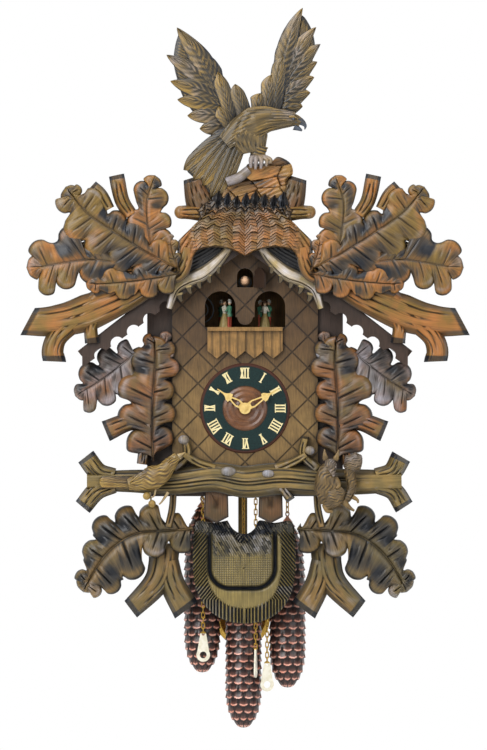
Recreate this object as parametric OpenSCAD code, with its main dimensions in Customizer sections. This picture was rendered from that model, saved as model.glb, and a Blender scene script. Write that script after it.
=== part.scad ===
// Carved eight-day musical cuckoo clock.
// Millimetres. X to the right, Z up, the front looks along -Y.
// The wall is the plane Y = 0 and the origin is the hanging hole in that plane.

/* [Case] */
// Width of the case over its side boards
case_w = 256; // [240:1:270]
// Depth of the case from the wall to the face of its front board
case_d = 140; // [136:1:150]
// Underside of the case floor below the hanging hole
case_drop = 282; // [276:1:292]
// Thickness of the side, floor and shelf boards
board_t = 8; // [6:0.5:10]
// Thickness of the back board
back_t = 10; // [9:0.5:12]
// Thickness of the dark front board
front_t = 6; // [5:0.5:7]

/* [Roof] */
// Height of the ridge above the hanging hole
ridge_z = 78; // [72:1:84]
// Slope of the roof boards in degrees
roof_pitch = 38; // [36:0.5:40]
// Reach of each roof board from the ridge to the eave, measured level
roof_reach = 218; // [205:1:225]
// Thickness of the roof boards
roof_t = 12; // [10:0.5:14]
// Overhang of the roof in front of the front board
roof_overhang = 25; // [22:1:30]
// Thickness of the fretted bargeboards
barge_t = 6; // [5:0.5:7]

/* [Front panel] */
// Width of the lattice panel
panel_w = 190; // [180:1:200]
// Thickness of the lattice panel
panel_t = 6; // [5:0.5:8]
// Distance between neighbouring lattice grooves
lattice_pitch = 29; // [26:0.5:32]
// Width of a lattice groove
groove_w = 1.6; // [1.2:0.1:2.4]
// Depth of a lattice groove
groove_depth = 1.2; // [0.8:0.1:2]

/* [Dial] */
// Depth of the hand axis below the hanging hole
dial_drop = 167; // [164:0.5:171]
// Outer radius of the chapter ring
dial_r = 55; // [52:0.5:58]
// Radius of the turned wooden centre
dial_centre_r = 29; // [26:0.5:32]
// Thickness of the chapter ring
dial_t = 4; // [3:0.5:5]
// Length of the hour hand from its axis to its tip
hour_len = 44; // [38:0.5:48]
// Length of the minute hand from its axis to its tip
minute_len = 51; // [49:0.5:53]
// Angle of the hour hand, clockwise from twelve
hour_angle = 305; // [0:1:359]
// Angle of the minute hand, clockwise from twelve
minute_angle = 60; // [0:1:359]

/* [Cuckoo and dancers] */
// Width of the cuckoo's opening
cuckoo_w = 21; // [18:0.5:24]
// Sill of the cuckoo's opening below the hanging hole
cuckoo_drop = 9; // [7:0.5:11]
// Angle to which the cuckoo's door stands open
door_open = 128; // [110:1:140]
// Width of each dancer arch
arch_w = 40; // [36:0.5:42]
// Distance between the middles of the dancer arches
arch_gap = 65; // [60:0.5:68]
// Floor of the dancer stage below the hanging hole
stage_drop = 61; // [59:0.5:63]
// Height of the dancer arches
arch_h = 47; // [44:0.5:49]
// Radius of the turntable
turntable_r = 45; // [42:0.5:46]
// Radius of the circle on which the dancers stand
dance_r = 37; // [33:0.5:38]
// Height of the dancers
dancer_h = 38; // [34:0.5:40]
// Number of dancing couples
couples = 4; // [3:1:5]

/* [Movement] */
// Width of the movement plates
plate_w = 148; // [144:1:152]
// Radius of a chain wheel to the middle of its chain
sprocket_r = 11.75; // [11.5:0.05:12.2]
// Height of the chain wheels' arbors above the case floor
sprocket_rise = 60; // [56:1:66]
// Travel of each weight
weight_travel = 118; // [80:1:120]
// Distance between neighbouring links of a chain
link_pitch = 6.8; // [6.6:0.1:7.4]
// Diameter of the chain wire
link_wire = 1.4; // [1.2:0.05:1.5]

/* [Pendulum] */
// Depth of the pendulum pivot below the hanging hole
pendulum_drop = 130; // [126:1:134]
// Distance from the pivot to the middle of the bob
pendulum_len = 318; // [310:1:326]
// Radius of the bob
bob_r = 36; // [32:0.5:38]
// Width of the pendulum rod
rod_w = 12; // [10:0.5:13]

/* [Weights] */
// Length of a pine cone weight
cone_len = 219; // [210:1:226]
// Greatest radius of a pine cone weight
cone_r = 25; // [22:0.5:26]
// Number of rows of scales on a cone
cone_rows = 17; // [12:1:20]

/* [Carving] */
// Thickness of the eave branches
eave_t = 16; // [14:0.5:18]
// Thickness of the large top leaves
leaf_t = 13; // [11:0.5:15]
// Thickness of the crown carving
crown_t = 18; // [15:0.5:20]
// Thickness of the cross branch
cross_t = 22; // [18:0.5:24]
// Thickness of the lower plate
plate_t = 14; // [12:0.5:15]
// Wingspan of the eagle
wingspan = 197; // [184:1:206]

/* [Hidden] */
$fn = 48;
// Slit between things that meet on a curve or turn past each other
slit = 0.3;
// Radial running clearance of a shaft in its bearing
run_fit = 0.05;

// Levels of the front, from the back forward
y_front = -case_d;
y_panel = y_front - panel_t;
y_roof = y_front - roof_overhang;
y_barge = y_roof - barge_t;
arch_t = 6;
y_arch = y_barge - arch_t;
y_eave = y_barge - eave_t;
y_tie = y_front - panel_t;
y_fork = y_front + 14;
fork_t = 15;

case_x = case_w / 2;
floor_z = -case_drop;
roof_under = ridge_z - roof_t / cos(roof_pitch);
dial_z = -dial_drop;
stage_z = -stage_drop;
shelf_top = stage_z - 9;
shelf_z = shelf_top - 6;
cuckoo_z = -cuckoo_drop;
cuckoo_h = 25;
carousel_y = y_front + front_t + turntable_r + 1.2;

// Chains: places of the three weight strands and of the three ring strands
strand_x = [-56.5, -2, 56];
side_of = [1, 1, -1];
ring_x = [-55, 14, 29];
weight_y = -68;
ring_y = -100;
sprocket_z = floor_z + sprocket_rise;
cone_hang = [10, 83, 30];
tag_hang = [181, 202, 220];
cone_top = [for (drop = cone_hang) floor_z - drop];
tag_top = [for (drop = tag_hang) floor_z - drop];

plate_back_y = -42;
plate_front_y = -94;
mov_t = 2;
mov_top = -98;
mov_bottom = floor_z + 42;
pendulum_x = -3;
pendulum_y = -26;
pendulum_z = -pendulum_drop;

// ---------------------------------------------------------------- helpers

function lerp(a, b, t) = a + (b - a) * t;
function unit(v) = v / max(norm(v), 1e-9);
function across(v) = [-v[1], v[0]];
// Direction of a path at its point i, the mean of its two neighbours
function heading(path, i) =
    unit(path[min(i + 1, len(path) - 1)] - path[max(i - 1, 0)]);
// Roof underside and top at a distance x from the ridge
function roof_low(x) = roof_under - abs(x) * tan(roof_pitch);
function roof_high(x) = ridge_z - abs(x) * tan(roof_pitch);

// A flat board: a drawing in X and Z, its back at y_back, thickness t forward
module board(y_back, t) {
    translate([0, y_back, 0]) rotate([90, 0, 0]) linear_extrude(t) children();
}

// A closed skin through rings that all have as many points
module loft(rings) {
    n = len(rings[0]);
    last = (len(rings) - 1) * n;
    sides = [for (i = [0:len(rings) - 2]) for (j = [0:n - 1])
        let (a = i * n + j, b = i * n + (j + 1) % n)
        each [[a, a + n, b], [b, a + n, b + n]]];
    first_cap = [for (j = [0:n - 1]) j];
    last_cap = [for (j = [n - 1:-1:0]) last + j];
    polyhedron([for (r = rings) each r], concat([first_cap], sides, [last_cap]));
}

// Half section of a carved limb: flat behind, round in front (across, forward)
LIMB = [[1, 0], [1, 0.45], [0.62, 0.88], [0, 1], [-0.62, 0.88], [-1, 0.45], [-1, 0]];

// A carved limb along a path of [x, z] points, w wide at each, flat on y_back
module limb(path, w, y_back, t) {
    loft([for (i = [0:len(path) - 1])
        let (side = across(heading(path, i)))
        [for (s = LIMB) let (p = path[i] + side * s[0] * w[i] / 2)
            [p[0], y_back - s[1] * t, p[1]]]]);
}

// A rounded body along a path of [x, z] points: r wide and d deep at each round the
// plane y, cut flat behind where it would pass y_back
module fur_body(path, r, d, y, y_back, sides = 10) {
    loft([for (i = [0:len(path) - 1])
        let (side = across(heading(path, i)))
        [for (k = [0:sides - 1]) let (a = 360 * k / sides,
            p = path[i] + side * cos(a) * r[i])
            [p[0], min(y - sin(a) * d[i], y_back), p[1]]]]);
}

// Half width of an oak leaf at u of its length, as a part of its greatest:
// a swelling envelope, cut by n rounded sinuses
function leaf_width(u, n, cut) =
    let (e = pow(sin(180 * pow(u, 1.15)), 0.75), c = 0.5 + 0.5 * cos(360 * (n * u + 0.12)))
    max(0.045, e * (1 - cut * pow(c, 1.6)) + 0.03 * (1 - u));
// Point of a leaf: u along its bent midrib and v across it, lobes lean to the tip
function leaf_point(base, tip, w, bend, n, cut, u, v) =
    let (run = tip - base, fwd = unit(run), side = across(fwd),
        mid = base + run * u + side * bend * norm(run) * 4 * u * (1 - u),
        half = w * leaf_width(u, n, cut))
    mid + side * v * half + fwd * abs(v) * half * 0.42;
// Relief of a leaf's face: low at the rim, raised beside a sunk midrib
LEAF = [[1, 0], [1, 0.5], [0.5, 0.95], [0, 0.72], [-0.5, 0.95], [-1, 0.5], [-1, 0]];

// A carved oak leaf from base to tip, greatest half width w, n sinuses a side
module leaf(base, tip, w, y_back, t, bend = 0, n = 4, cut = 0.5) {
    steps = n * 7;
    loft([for (i = [0:steps]) let (u = i / steps, lift = 0.55 + 0.45 * sin(180 * u))
        [for (s = LEAF) let (p = leaf_point(base, tip, w, bend, n, cut, u, s[0]))
            [p[0], y_back - t * s[1] * lift, p[1]]]]);
}

// Both sides of a drawing
module both() {
    children();
    mirror([1, 0, 0]) children();
}

// ---------------------------------------------------------------- case

module side_board() {
    top = roof_low(case_x);
    color("#3a2a1e") translate([-case_x, 0, 0]) rotate([90, 0, 0])
        linear_extrude(case_d - front_t)
            polygon([[0, floor_z], [board_t, floor_z],
                [board_t, roof_low(case_x - board_t)], [0, top]]);
}
module side_board_left() { side_board(); }
module side_board_right() { mirror([1, 0, 0]) side_board(); }

// Slots of the floor: one notch for the pendulum and one per strand of chain
link_bend = link_wire * 1.35;
link_half = link_bend + link_wire / 2;
chain_slot = link_half + slit;
swing_half = rod_w / 2 + 16;
module case_floor() {
    inner_x = case_x - board_t;
    color("#4a3424") difference() {
        translate([-inner_x, y_front + front_t, floor_z])
            cube([2 * inner_x, case_d - front_t - back_t, board_t]);
        translate([pendulum_x - swing_half, pendulum_y - 7, floor_z - 1])
            cube([2 * swing_half, 30, board_t + 2]);
        for (x = strand_x) translate([x, weight_y, floor_z - 1])
            cylinder(h = board_t + 2, r = chain_slot);
        for (x = ring_x) translate([x, ring_y, floor_z - 1])
            cylinder(h = board_t + 2, r = chain_slot);
    }
}

// Gable outline of the case between its side boards, down to the floor
module gable_outline(half, bottom) {
    polygon([[-half, bottom], [half, bottom], [half, roof_low(half)], [0, roof_under],
        [-half, roof_low(half)]]);
}

door_w = 150;
door_top = -84;
door_bottom = -246;
hanger_hole = 5;
hanger_w = 26;
module back_board() {
    color("#5a4028") difference() {
        board(0, back_t) gable_outline(case_x - board_t, floor_z);
        board(1, back_t + 2) translate([-door_w / 2, door_bottom])
            square([door_w, door_top - door_bottom]);
        board(1, back_t + 2) circle(hanger_hole + 4);
        board(1, 3) square([hanger_w, hanger_w], center = true);
        for (z = [door_bottom + 22, door_top - 22])
            translate([-door_w / 2 - 3, -2, z]) {
                cylinder(h = 16, r = 2.4, center = true);
                translate([0, -2.4, -5]) cube([4, 6, 10]);
            }
    }
}

// The steel eye plate let into the back board; its hole hangs on the wall's screw
module hanger_plate() {
    color("#8a8d90") board(0, 2) difference() {
        square([hanger_w - 2 * slit, hanger_w - 2 * slit], center = true);
        circle(hanger_hole);
    }
}

// The door turns on two pins let into the back board
module back_door() {
    gap = 1;
    color("#4f3826") {
        difference() {
            board(-1, 4) translate([-door_w / 2 + gap, door_bottom + gap])
                square([door_w - 2 * gap, door_top - door_bottom - 2 * gap]);
            for (k = [-3:3]) board(0, 6) translate([k * 12, -165])
                square([3, 50], center = true);
        }
        for (z = [door_bottom + 22, door_top - 22]) {
            translate([-door_w / 2 - 3, -2, z]) cylinder(h = 14, r = 1.9, center = true);
            translate([-door_w / 2 - 3, -3, z - 4]) cube([5, 1.9, 8]);
        }
        translate([door_w / 2 - 12, -1, -165]) rotate([-90, 0, 0]) cylinder(h = 0.9, r = 6);
    }
}

module cuckoo_hole(grow = 0) {
    r = cuckoo_w / 2 + grow;
    spring = cuckoo_z + cuckoo_h - cuckoo_w / 2;
    translate([-r, cuckoo_z - grow]) square([2 * r, spring - cuckoo_z + grow]);
    translate([0, spring]) circle(r);
}
// Two arches joined under a hanging round tongue
tongue_r = 10;
module dancer_window() {
    spring = stage_z + arch_h - arch_w / 2;
    tongue_z = stage_z + 3 + tongue_r;
    difference() {
        union() {
            for (s = [-1, 1]) translate([s * arch_gap / 2, 0]) {
                translate([-arch_w / 2, stage_z]) square([arch_w, spring - stage_z]);
                translate([0, spring]) circle(arch_w / 2);
            }
            translate([-arch_gap / 2, stage_z]) square([arch_gap, tongue_z - stage_z]);
        }
        translate([0, tongue_z]) circle(tongue_r);
        translate([-tongue_r, tongue_z]) square([2 * tongue_r, arch_h]);
    }
}
arbor_hole = 5;
ledge_w = 34;
ledge_z = cuckoo_z - 5;
// The dark front board carries the ledge on which the cuckoo slides
module case_front() {
    color("#3a281b") {
        board(y_front + front_t, front_t) difference() {
            gable_outline(case_x, floor_z);
            cuckoo_hole();
            dancer_window();
            translate([0, dial_z]) circle(arbor_hole);
        }
        translate([-ledge_w / 2, y_front + front_t, ledge_z - 3]) cube([ledge_w, 70, 3]);
    }
}

panel_bottom = floor_z + 32;
module panel_outline() {
    half = panel_w / 2;
    drop = 14;
    polygon([[-half, panel_bottom], [half, panel_bottom], [half, roof_low(half) - drop],
        [0, roof_under - drop], [-half, roof_low(half) - drop]]);
}
// Diamond lattice: two families of grooves at 45 degrees, one crossing at lattice_z
lattice_z = -32;
module lattice_panel() {
    reach = 7;
    color("#7a5c34") difference() {
        board(y_front, panel_t) difference() {
            panel_outline();
            cuckoo_hole();
            dancer_window();
            translate([0, dial_z]) circle(arbor_hole);
        }
        for (turn = [45, -45], k = [-reach:reach])
            board(y_panel + groove_depth, groove_depth + 1)
                translate([0, lattice_z]) rotate(turn)
                    translate([-260, k * lattice_pitch - groove_w / 2])
                        square([520, groove_w]);
    }
}

module attic_shelf() {
    inner_x = case_x - board_t;
    color("#4a3424") difference() {
        translate([-inner_x, y_front + front_t, shelf_z])
            cube([2 * inner_x, case_d - front_t - back_t, shelf_top - shelf_z]);
        translate([0, carousel_y, shelf_z - 1]) cylinder(h = 9, r = spindle_r + run_fit);
    }
}

// ---------------------------------------------------------------- roof

module roof_board() {
    out = roof_reach;
    lean = roof_t * sin(roof_pitch);
    color("#3d2c20") board(0, -y_roof) polygon([[0, ridge_z], [0, roof_under],
        [-out + lean, roof_high(out) - roof_t * cos(roof_pitch)], [-out, roof_high(out)]]);
}
module roof_left() { roof_board(); }
module roof_right() { mirror([1, 0, 0]) roof_board(); }

// Fretted board under the front edge of the roof, its lower edge a row of scallops
barge_w = 38;
barge_taper = 12;
barge_out = roof_reach - 6;
scallop_from = 92;
scallop_n = 5;
function barge_low(x) = roof_high(x) - barge_w + barge_taper * x / barge_out;
module bargeboard() {
    step = (barge_out - scallop_from - 14) / scallop_n;
    color("#35251b") board(y_roof, barge_t) difference() {
        polygon([[0, ridge_z - 2], [0, barge_low(0)], [-barge_out, barge_low(barge_out)],
            [-barge_out, roof_high(barge_out) - 2]]);
        for (k = [0:scallop_n - 1]) let (x = scallop_from + (k + 0.5) * step)
            translate([-x, barge_low(x) - 2]) circle(step * 0.42);
    }
}
module bargeboards() { both() bargeboard(); }

// Light arched vines that run from under the crown to the shoulders of the panel
module gable_arch() {
    steps = 9;
    path = [for (i = [0:steps]) let (u = i / steps)
        [-lerp(26, 100, u), lerp(40, -30, u) - 13 * sin(180 * u)]];
    width = [for (i = [0:steps]) 9 + 7 * sin(180 * i / steps)];
    limb(path, width, y_barge, arch_t);
    for (k = [2, 4, 6, 8]) let (p = path[k])
        limb([p, p + [5, -9], p + [3, -15]], [8, 6, 1.6], y_barge, arch_t * 0.7);
}
module gable_arches() { color("#a8763f") both() gable_arch(); }

// ---------------------------------------------------------------- eagle and crown

// Half outline of the crown, from its top middle round to its bottom point
CROWN = [[0, 96], [-24, 102], [-50, 107], [-66, 120], [-80, 132], [-82, 114], [-76, 99],
    [-88, 96], [-94, 89], [-91, 80], [-78, 77], [-60, 75], [-73, 64], [-87, 52], [-87, 36],
    [-84, 22], [-78, 9], [-69, 24], [-63, 37], [-32, 42], [-15, 38], [0, 30]];
module crown() {
    color("#7c5a32") difference() {
        board(y_arch, crown_t) both() polygon(CROWN);
        both() for (k = [0:5]) board(y_arch - crown_t + 2.5, 4)
            translate([-8 - k * 13, 50 + 5 * (k % 2)]) rotate(28) square([2, 30]);
    }
}

module eagle_rock() {
    t = crown_t - 4;
    color("#6e5634") {
        board(y_arch, t) difference() {
            polygon([[-30, 90], [50, 90], [48, 108], [56, 117], [54, 130], [62, 137],
                [60, 150], [52, 157], [42, 160], [34, 154], [24, 152], [4, 152], [0, 143],
                [-18, 133], [-28, 124], [-33, 108]]);
            both() polygon(CROWN);
        }
    }
}

// Wing: a fan of feathers from the shoulder, each a tapered blade. The tips run from the
// lowest feather by the back to the long one at the top.
wing_t = 6;
function spread(row) = [for (p = row) [p[0] * wingspan / 197, p[1]]];
LEFT_TIPS = spread([[-52, 192], [-73, 214], [-86, 234], [-97, 259], [-101, 292], [-88, 328]]);
RIGHT_TIPS = spread([[64, 224], [82, 243], [90, 262], [96, 286], [94, 318], [76, 357]]);
// Point at u of the way along a row of points
function on(path, u) = let (n = len(path) - 1, k = min(n - 1, floor(u * n)))
    lerp(path[k], path[k + 1], u * n - k);
module feather(a, b, w, y_back, t) {
    run = unit(b - a);
    side = across(run);
    board(y_back, t) polygon([a + side * w * 0.34, a - side * w * 0.34, b - side * w * 0.5
        - run * w * 0.9, b - side * w * 0.12, b + side * w * 0.25, b + side * w * 0.5
        - run * w]);
}
module wing(tips, low, high) {
    n = 9;
    for (k = [0:n]) let (u = k / n)
        feather(lerp(low, high, u * 0.9), on(tips, u), lerp(24, 20, u),
            y_arch + 6 - (k % 2) * 1.5, wing_t);
    m = 6;
    for (k = [0:m]) let (u = k / m, root = lerp(low, high, u * 1.15))
        feather(root, lerp(root, on(tips, u), 0.5), 20, y_arch + 3 - ((k + 1) % 2) * 1.5,
            wing_t);
}
module eagle_wings() {
    color("#6f5430") {
        wing(LEFT_TIPS, [-4, 206], [-46, 284]);
        wing(RIGHT_TIPS, [18, 210], [56, 306]);
    }
}
module eagle_body() {
    y = y_arch - 8;
    eagle_back = y_arch - 4.5 - slit;
    color("#6a5030") {
        fur_body([[-28, 168], [-14, 184], [4, 200], [30, 208], [52, 210],
            [66, 214], [76, 206], [80, 198]], [12, 17, 21, 22, 15, 11, 8, 2],
            [7, 11, 15, 16, 12, 9, 6, 1.5], y, eagle_back);
        limb([[-6, 190], [-34, 160], [-62, 131]], [26, 34, 46], eagle_back, 8);
        limb([[18, 186], [15, 168], [13, 160], [13, 152 + slit]], [18, 13, 10, 9],
            eagle_back, 11);
    }
}

// ---------------------------------------------------------------- branches and leaves

module eave_branch() {
    limb([[-118, -4], [-158, -30], [-200, -46], [-240, -40], [-286, -46]],
        [46, 42, 34, 26, 28], y_barge, eave_t);
    limb([[-196, -30], [-222, -62], [-246, -86], [-248, -107]], [30, 30, 28, 30],
        y_barge, eave_t - 1);
    limb([[-158, -30], [-190, -52], [-196, -82]], [24, 20, 22], y_barge, eave_t - 3);
}
module eave_branch_left() { color("#b0733a") eave_branch(); }
module eave_branch_right() { color("#b0733a") mirror([1, 0, 0]) eave_branch(); }

module top_leaves() {
    color("#a86f3a") {
        leaf([-88.5, 22], [-240, 122], 46, y_eave, leaf_t, 0.05, 5, 0.42);
        leaf([-126, 64], [-116, 138], 26, y_eave, leaf_t - 4, 0.03, 3, 0.5);
        leaf([-160, 6], [-284, 16], 36, y_eave, leaf_t - 4, -0.06, 3, 0.5);
        leaf([-88.5, 14], [-208, -4], 26, y_eave, leaf_t - 3, -0.06, 4, 0.45);
        leaf([-92, 12], [-104, 46], 10, y_eave, leaf_t - 5, 0.05, 2, 0.4);
        limb([[-150, 84], [-172, 106], [-176, 136]], [22, 20, 20], y_eave, leaf_t - 3);
    }
}
module top_leaves_left() { top_leaves(); }
module top_leaves_right() { mirror([1, 0, 0]) top_leaves(); }

// Width of the moulding round the dial
moulding_w = 4;
// Middle height of the cross branch, which hides the foot of the lattice panel and stays
// below the dial
cross_h = 34;
cross_z = min(floor_z + 21, dial_z - dial_r - moulding_w - cross_h / 2 - slit);
module cross_branch() {
    color("#6d5430") {
        limb([[-150, cross_z], [-90, cross_z - 1], [-20, cross_z - 4], [60, cross_z + 1],
            [150, cross_z + 1]], [cross_h, cross_h - 1, cross_h - 1, cross_h - 1, cross_h - 2],
            y_tie, cross_t);
        for (s = [-1, 1]) {
            limb([[s * 130, cross_z], [s * 176, cross_z + 4], [s * 196, cross_z + 14],
                [s * 208, cross_z + 36]], [30, 26, 25, 30], y_tie, cross_t - 2);
            limb([[s * 170, cross_z + 2], [s * 196, cross_z - 10], [s * 208, cross_z - 32]],
                [24, 25, 30], y_tie, cross_t - 2);
        }
    }
}

module songbird() {
    color("#8c713c") translate([0, 0, cross_z])
        fur_body([[-186, 6], [-158, -1], [-140, -1], [-124, 3], [-106, 15], [-94, 25],
            [-84, 31], [-79, 34]], [3, 7, 14, 16, 13, 9, 7, 1.5],
            [2, 5, 9, 11, 10, 8, 6, 1.5], y_tie - cross_t - 5, y_tie - cross_t - slit);
}
module squirrel() {
    y = y_tie - cross_t - 6;
    back = y_tie - cross_t - slit;
    color("#6d5634") translate([0, 0, cross_z]) {
        fur_body([[118, -39], [116, -25], [110, -1], [104, 15], [106, 29]],
            [10, 17, 19, 13, 3], [7, 12, 12, 10, 3], y, back);
        fur_body([[134, -31], [142, -7], [146, 15], [140, 35], [134, 39]],
            [6, 12, 15, 12, 3], [5, 8, 9, 8, 3], y + 1, back);
    }
}

// The tall leaves stand on the cross branch; the side leaves also stay under the roof
side_leaf_z = min(cross_z, roof_low(160) - 190);
module upright_leaves() {
    color("#8c6234") {
        translate([0, 0, cross_z]) {
            leaf([-118, 25], [-102, 199], 42, y_tie, 18, 0.02, 5, 0.42);
            limb([[-132, 71], [-160, 73], [-182, 65]], [22, 20, 27], y_tie, 14);
            limb([[-138, 47], [-136, 21]], [16, 14], y_tie, 12);
        }
        translate([0, 0, side_leaf_z])
            leaf([-140, 163], [-206, 85], 36, y_tie, 12, -0.1, 4, 0.4);
    }
}
module upright_leaves_left() { upright_leaves(); }
module upright_leaves_right() { mirror([1, 0, 0]) upright_leaves(); }

module lower_leaf() {
    color("#7a5f36") translate([0, 0, floor_z]) {
        leaf([-78, -50], [-206, -116], 48, y_fork, 16, 0.16, 5, 0.4);
        limb([[-plate_half - slit, -54], [-92, -54], [-116, -60]], [40, 36, 24], y_fork, 12);
        limb([[-100, -36], [-94, -14], [-93, 18]], [9, 8, 8], y_front, -y_tie + y_front);
    }
}
module lower_leaf_left() { lower_leaf(); }
module lower_leaf_right() { mirror([1, 0, 0]) lower_leaf(); }

module lower_fork() {
    color("#75592f") translate([0, 0, floor_z]) {
        limb([[-106, -58], [-108, -90], [-118, -116], [-150, -146]], [42, 38, 34, 28],
            y_fork + fork_t, fork_t);
        limb([[-102, -90], [-96, -116], [-78, -148]], [30, 34, 38],
            y_fork + fork_t, fork_t - 1);
    }
}
module lower_forks() { both() lower_fork(); }

// U shaped lower plate with a raised rim and a woven nest inside
plate_half = 68;
plate_top = floor_z - 32;
plate_round = floor_z - 100;
module u_outline(half, top, grow = 0) {
    translate([-half - grow, plate_round]) square([2 * (half + grow), top - plate_round]);
    translate([0, plate_round]) circle(half + grow);
}
module nest_plate() {
    strap_x = 36;
    color("#4a4428") {
        difference() {
            board(y_fork, plate_t) difference() {
                u_outline(plate_half, plate_top);
                translate([0, plate_top + 6]) circle(26);
            }
            board(y_fork - plate_t + 4, 6) difference() {
                u_outline(52, plate_top - 8);
                u_outline(44, plate_top - 20);
            }
        }
    }
    color("#5a4028") for (s = [-1, 1]) board(y_front, -y_tie + y_front)
        polygon([for (p = [[-16, -6], [-16, 22], [16, 22], [16, -6], [3, -38], [-3, -38]])
            [s * strap_x + p[0], floor_z + p[1]]]);
}

rail_half = 49;
board_n = 4;
module balcony() {
    rail_h = 5;
    low = stage_z - 37;
    w = 2 * rail_half / board_n;
    color("#a87840") {
        board(y_panel, 10) translate([-rail_half, stage_z - rail_h])
            square([2 * rail_half, rail_h]);
        for (k = [0:board_n - 1]) let (x = -rail_half + k * w)
            board(y_panel, 4 + 1.5 * (k % 2)) polygon([[x, stage_z - rail_h], [x, low + 6],
                [x + w / 2, low - 4], [x + w, low + 6], [x + w, stage_z - rail_h]]);
    }
}

// ---------------------------------------------------------------- dial and hands

y_dial = y_panel - dial_t;
module dial() {
    color("#10292a") translate([0, y_panel, dial_z]) rotate([90, 0, 0]) difference() {
        union() {
            cylinder(h = dial_t, r = dial_r);
            cylinder(h = dial_t - 2, r1 = dial_r + moulding_w, r2 = dial_r + moulding_w - 1.5);
        }
        translate([0, 0, -1]) cylinder(h = dial_t + 2, r = dial_centre_r);
    }
    color("#7b4527") translate([0, y_panel, dial_z]) rotate([90, 0, 0]) rotate_extrude()
        polygon([[arbor_hole, 0], [dial_centre_r, 0], [dial_centre_r, 3], [25, 4.5],
            [22, 3.5], [18, 5], [14, 4], [10, 5.5], [arbor_hole, 5.5]]);
}

// Strokes of the Roman numerals: I is a bar, V and X are slanted bars
num_h = 14;
module bar(x, lean = 0, t = 2) {
    polygon([[x - lean - t / 2, 0], [x - lean + t / 2, 0], [x + lean + t / 2, num_h],
        [x + lean - t / 2, num_h]]);
}
module numeral(strokes) {
    step = 3.1;
    for (k = [0:len(strokes) - 1]) let (x = (k - (len(strokes) - 1) / 2) * step * 1.25,
        s = strokes[k]) {
        if (s == "I") bar(x);
        if (s == "V" || s == "X") bar(x + (s == "V" ? 1 : 0), 1.6);
        if (s == "V") bar(x - 1, -1.6);
        if (s == "X") bar(x, -1.6);
    }
    serif = (len(strokes) - 1) * step * 1.25 + 4;
    for (z = [0, num_h - 1]) translate([-serif / 2, z]) square([serif, 1]);
}
NUMERALS = ["I", "II", "III", "IIII", "V", "VI", "VII", "VIII", "IX", "X", "XI", "XII"];
module numerals() {
    color("#f2dfa0") board(y_dial, 0.8) translate([0, dial_z])
        for (h = [1:12]) rotate(-30 * h) translate([0, dial_r - num_h - 2])
            numeral(NUMERALS[h - 1]);
}

hour_pipe_r = 3.2;
hour_pipe_bore = 1.9;
arbor_r = 1.8;
hand_t = 1;
y_hour = y_dial - 4.5;
y_minute = y_hour - 3;
// A pierced spade hand of length l pointing up from its boss
module hand_outline(l, boss, hole) {
    head = l * 0.62;
    difference() {
        union() {
            circle(boss);
            polygon([[-boss * 0.55, 2], [-5.2, boss + 5], [-2.7, head - 5], [-5.8, head - 4],
                [-5.4, head - 0.5], [-2.4, head + 3.5], [-1.1, head + 7], [-0.7, l], [0.7, l],
                [1.1, head + 7], [2.4, head + 3.5], [5.4, head - 0.5], [5.8, head - 4],
                [2.7, head - 5], [5.2, boss + 5], [boss * 0.55, 2]]);
        }
        circle(hole);
        polygon([[-2, boss + 1.5], [-3.3, boss + 5.2], [-1, head - 6], [1, head - 6],
            [3.3, boss + 5.2], [2, boss + 1.5]]);
    }
}
module hour_hand() {
    color("#e0be72") translate([0, y_hour, dial_z]) rotate([90, 0, 0])
        rotate(-hour_angle) linear_extrude(hand_t)
            hand_outline(hour_len, 7, (hour_pipe_bore + hour_pipe_r) / 2);
    lip = hand_t + 0.3;
    pipe_end = y_front + front_t - y_hour;
    color("#c9a24a") translate([0, y_hour, dial_z]) rotate([-90, 0, 0]) difference() {
        union() {
            translate([0, 0, -lip]) cylinder(h = pipe_end + 16 + lip, r = hour_pipe_r);
            translate([0, 0, pipe_end + 12]) linear_extrude(2) gear_outline(14, 30);
        }
        translate([0, 0, -lip - 1]) cylinder(h = 80, r = hour_pipe_bore);
    }
}
module minute_hand() {
    color("#e0be72") translate([0, y_minute, dial_z]) rotate([90, 0, 0])
        rotate(-minute_angle) linear_extrude(hand_t) hand_outline(minute_len, 7.4, 0.2);
    color("#c9a24a") translate([0, y_minute - hand_t - 1.5, dial_z]) rotate([-90, 0, 0]) {
        cylinder(h = hand_t + 1.5, r = 3);
        cylinder(h = plate_front_y - y_minute + hand_t + 6, r = arbor_r);
    }
}

// ---------------------------------------------------------------- cuckoo

bird_z = cuckoo_z + 4;
module cuckoo_bird() {
    color("#b08a58") translate([0, y_panel + 2, 0]) {
        translate([0, 26, bird_z + 6]) rotate([90, 0, 0]) rotate_extrude() polygon(
            [[0, 0], [4, 2], [6.5, 8], [6.5, 15], [5.2, 20], [4.4, 23], [1.6, 25.5], [0, 26]]);
        translate([-1.5, 12, ledge_z + slit]) cube([3, 6, bird_z + 2 - ledge_z]);
        translate([-6, 11, ledge_z + slit]) cube([12, 22, 2.4]);
    }
}
door_pin_x = cuckoo_w / 2 + 1.5;
door_t = 2.4;
y_door = y_panel - door_t / 2 - slit;
// The cuckoo's door, hinged on its right edge and standing open
module cuckoo_door() {
    color("#6b4a2a") translate([door_pin_x, y_door, 0]) rotate([0, 0, door_open]) {
        translate([-door_pin_x, door_t / 2, 0]) board(0, door_t) difference() {
            cuckoo_hole(0.6);
            translate([cuckoo_w / 2 - 1, -50]) square([10, 100]);
        }
        translate([-2.6, -door_t / 2, cuckoo_z + 2]) cube([2.6, door_t, 12]);
        translate([0, 0, cuckoo_z + 1]) cylinder(h = 14, r = door_t / 2);
    }
}

// ---------------------------------------------------------------- dancers

spindle_r = 2;
dance_turn = 5.7;
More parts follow.
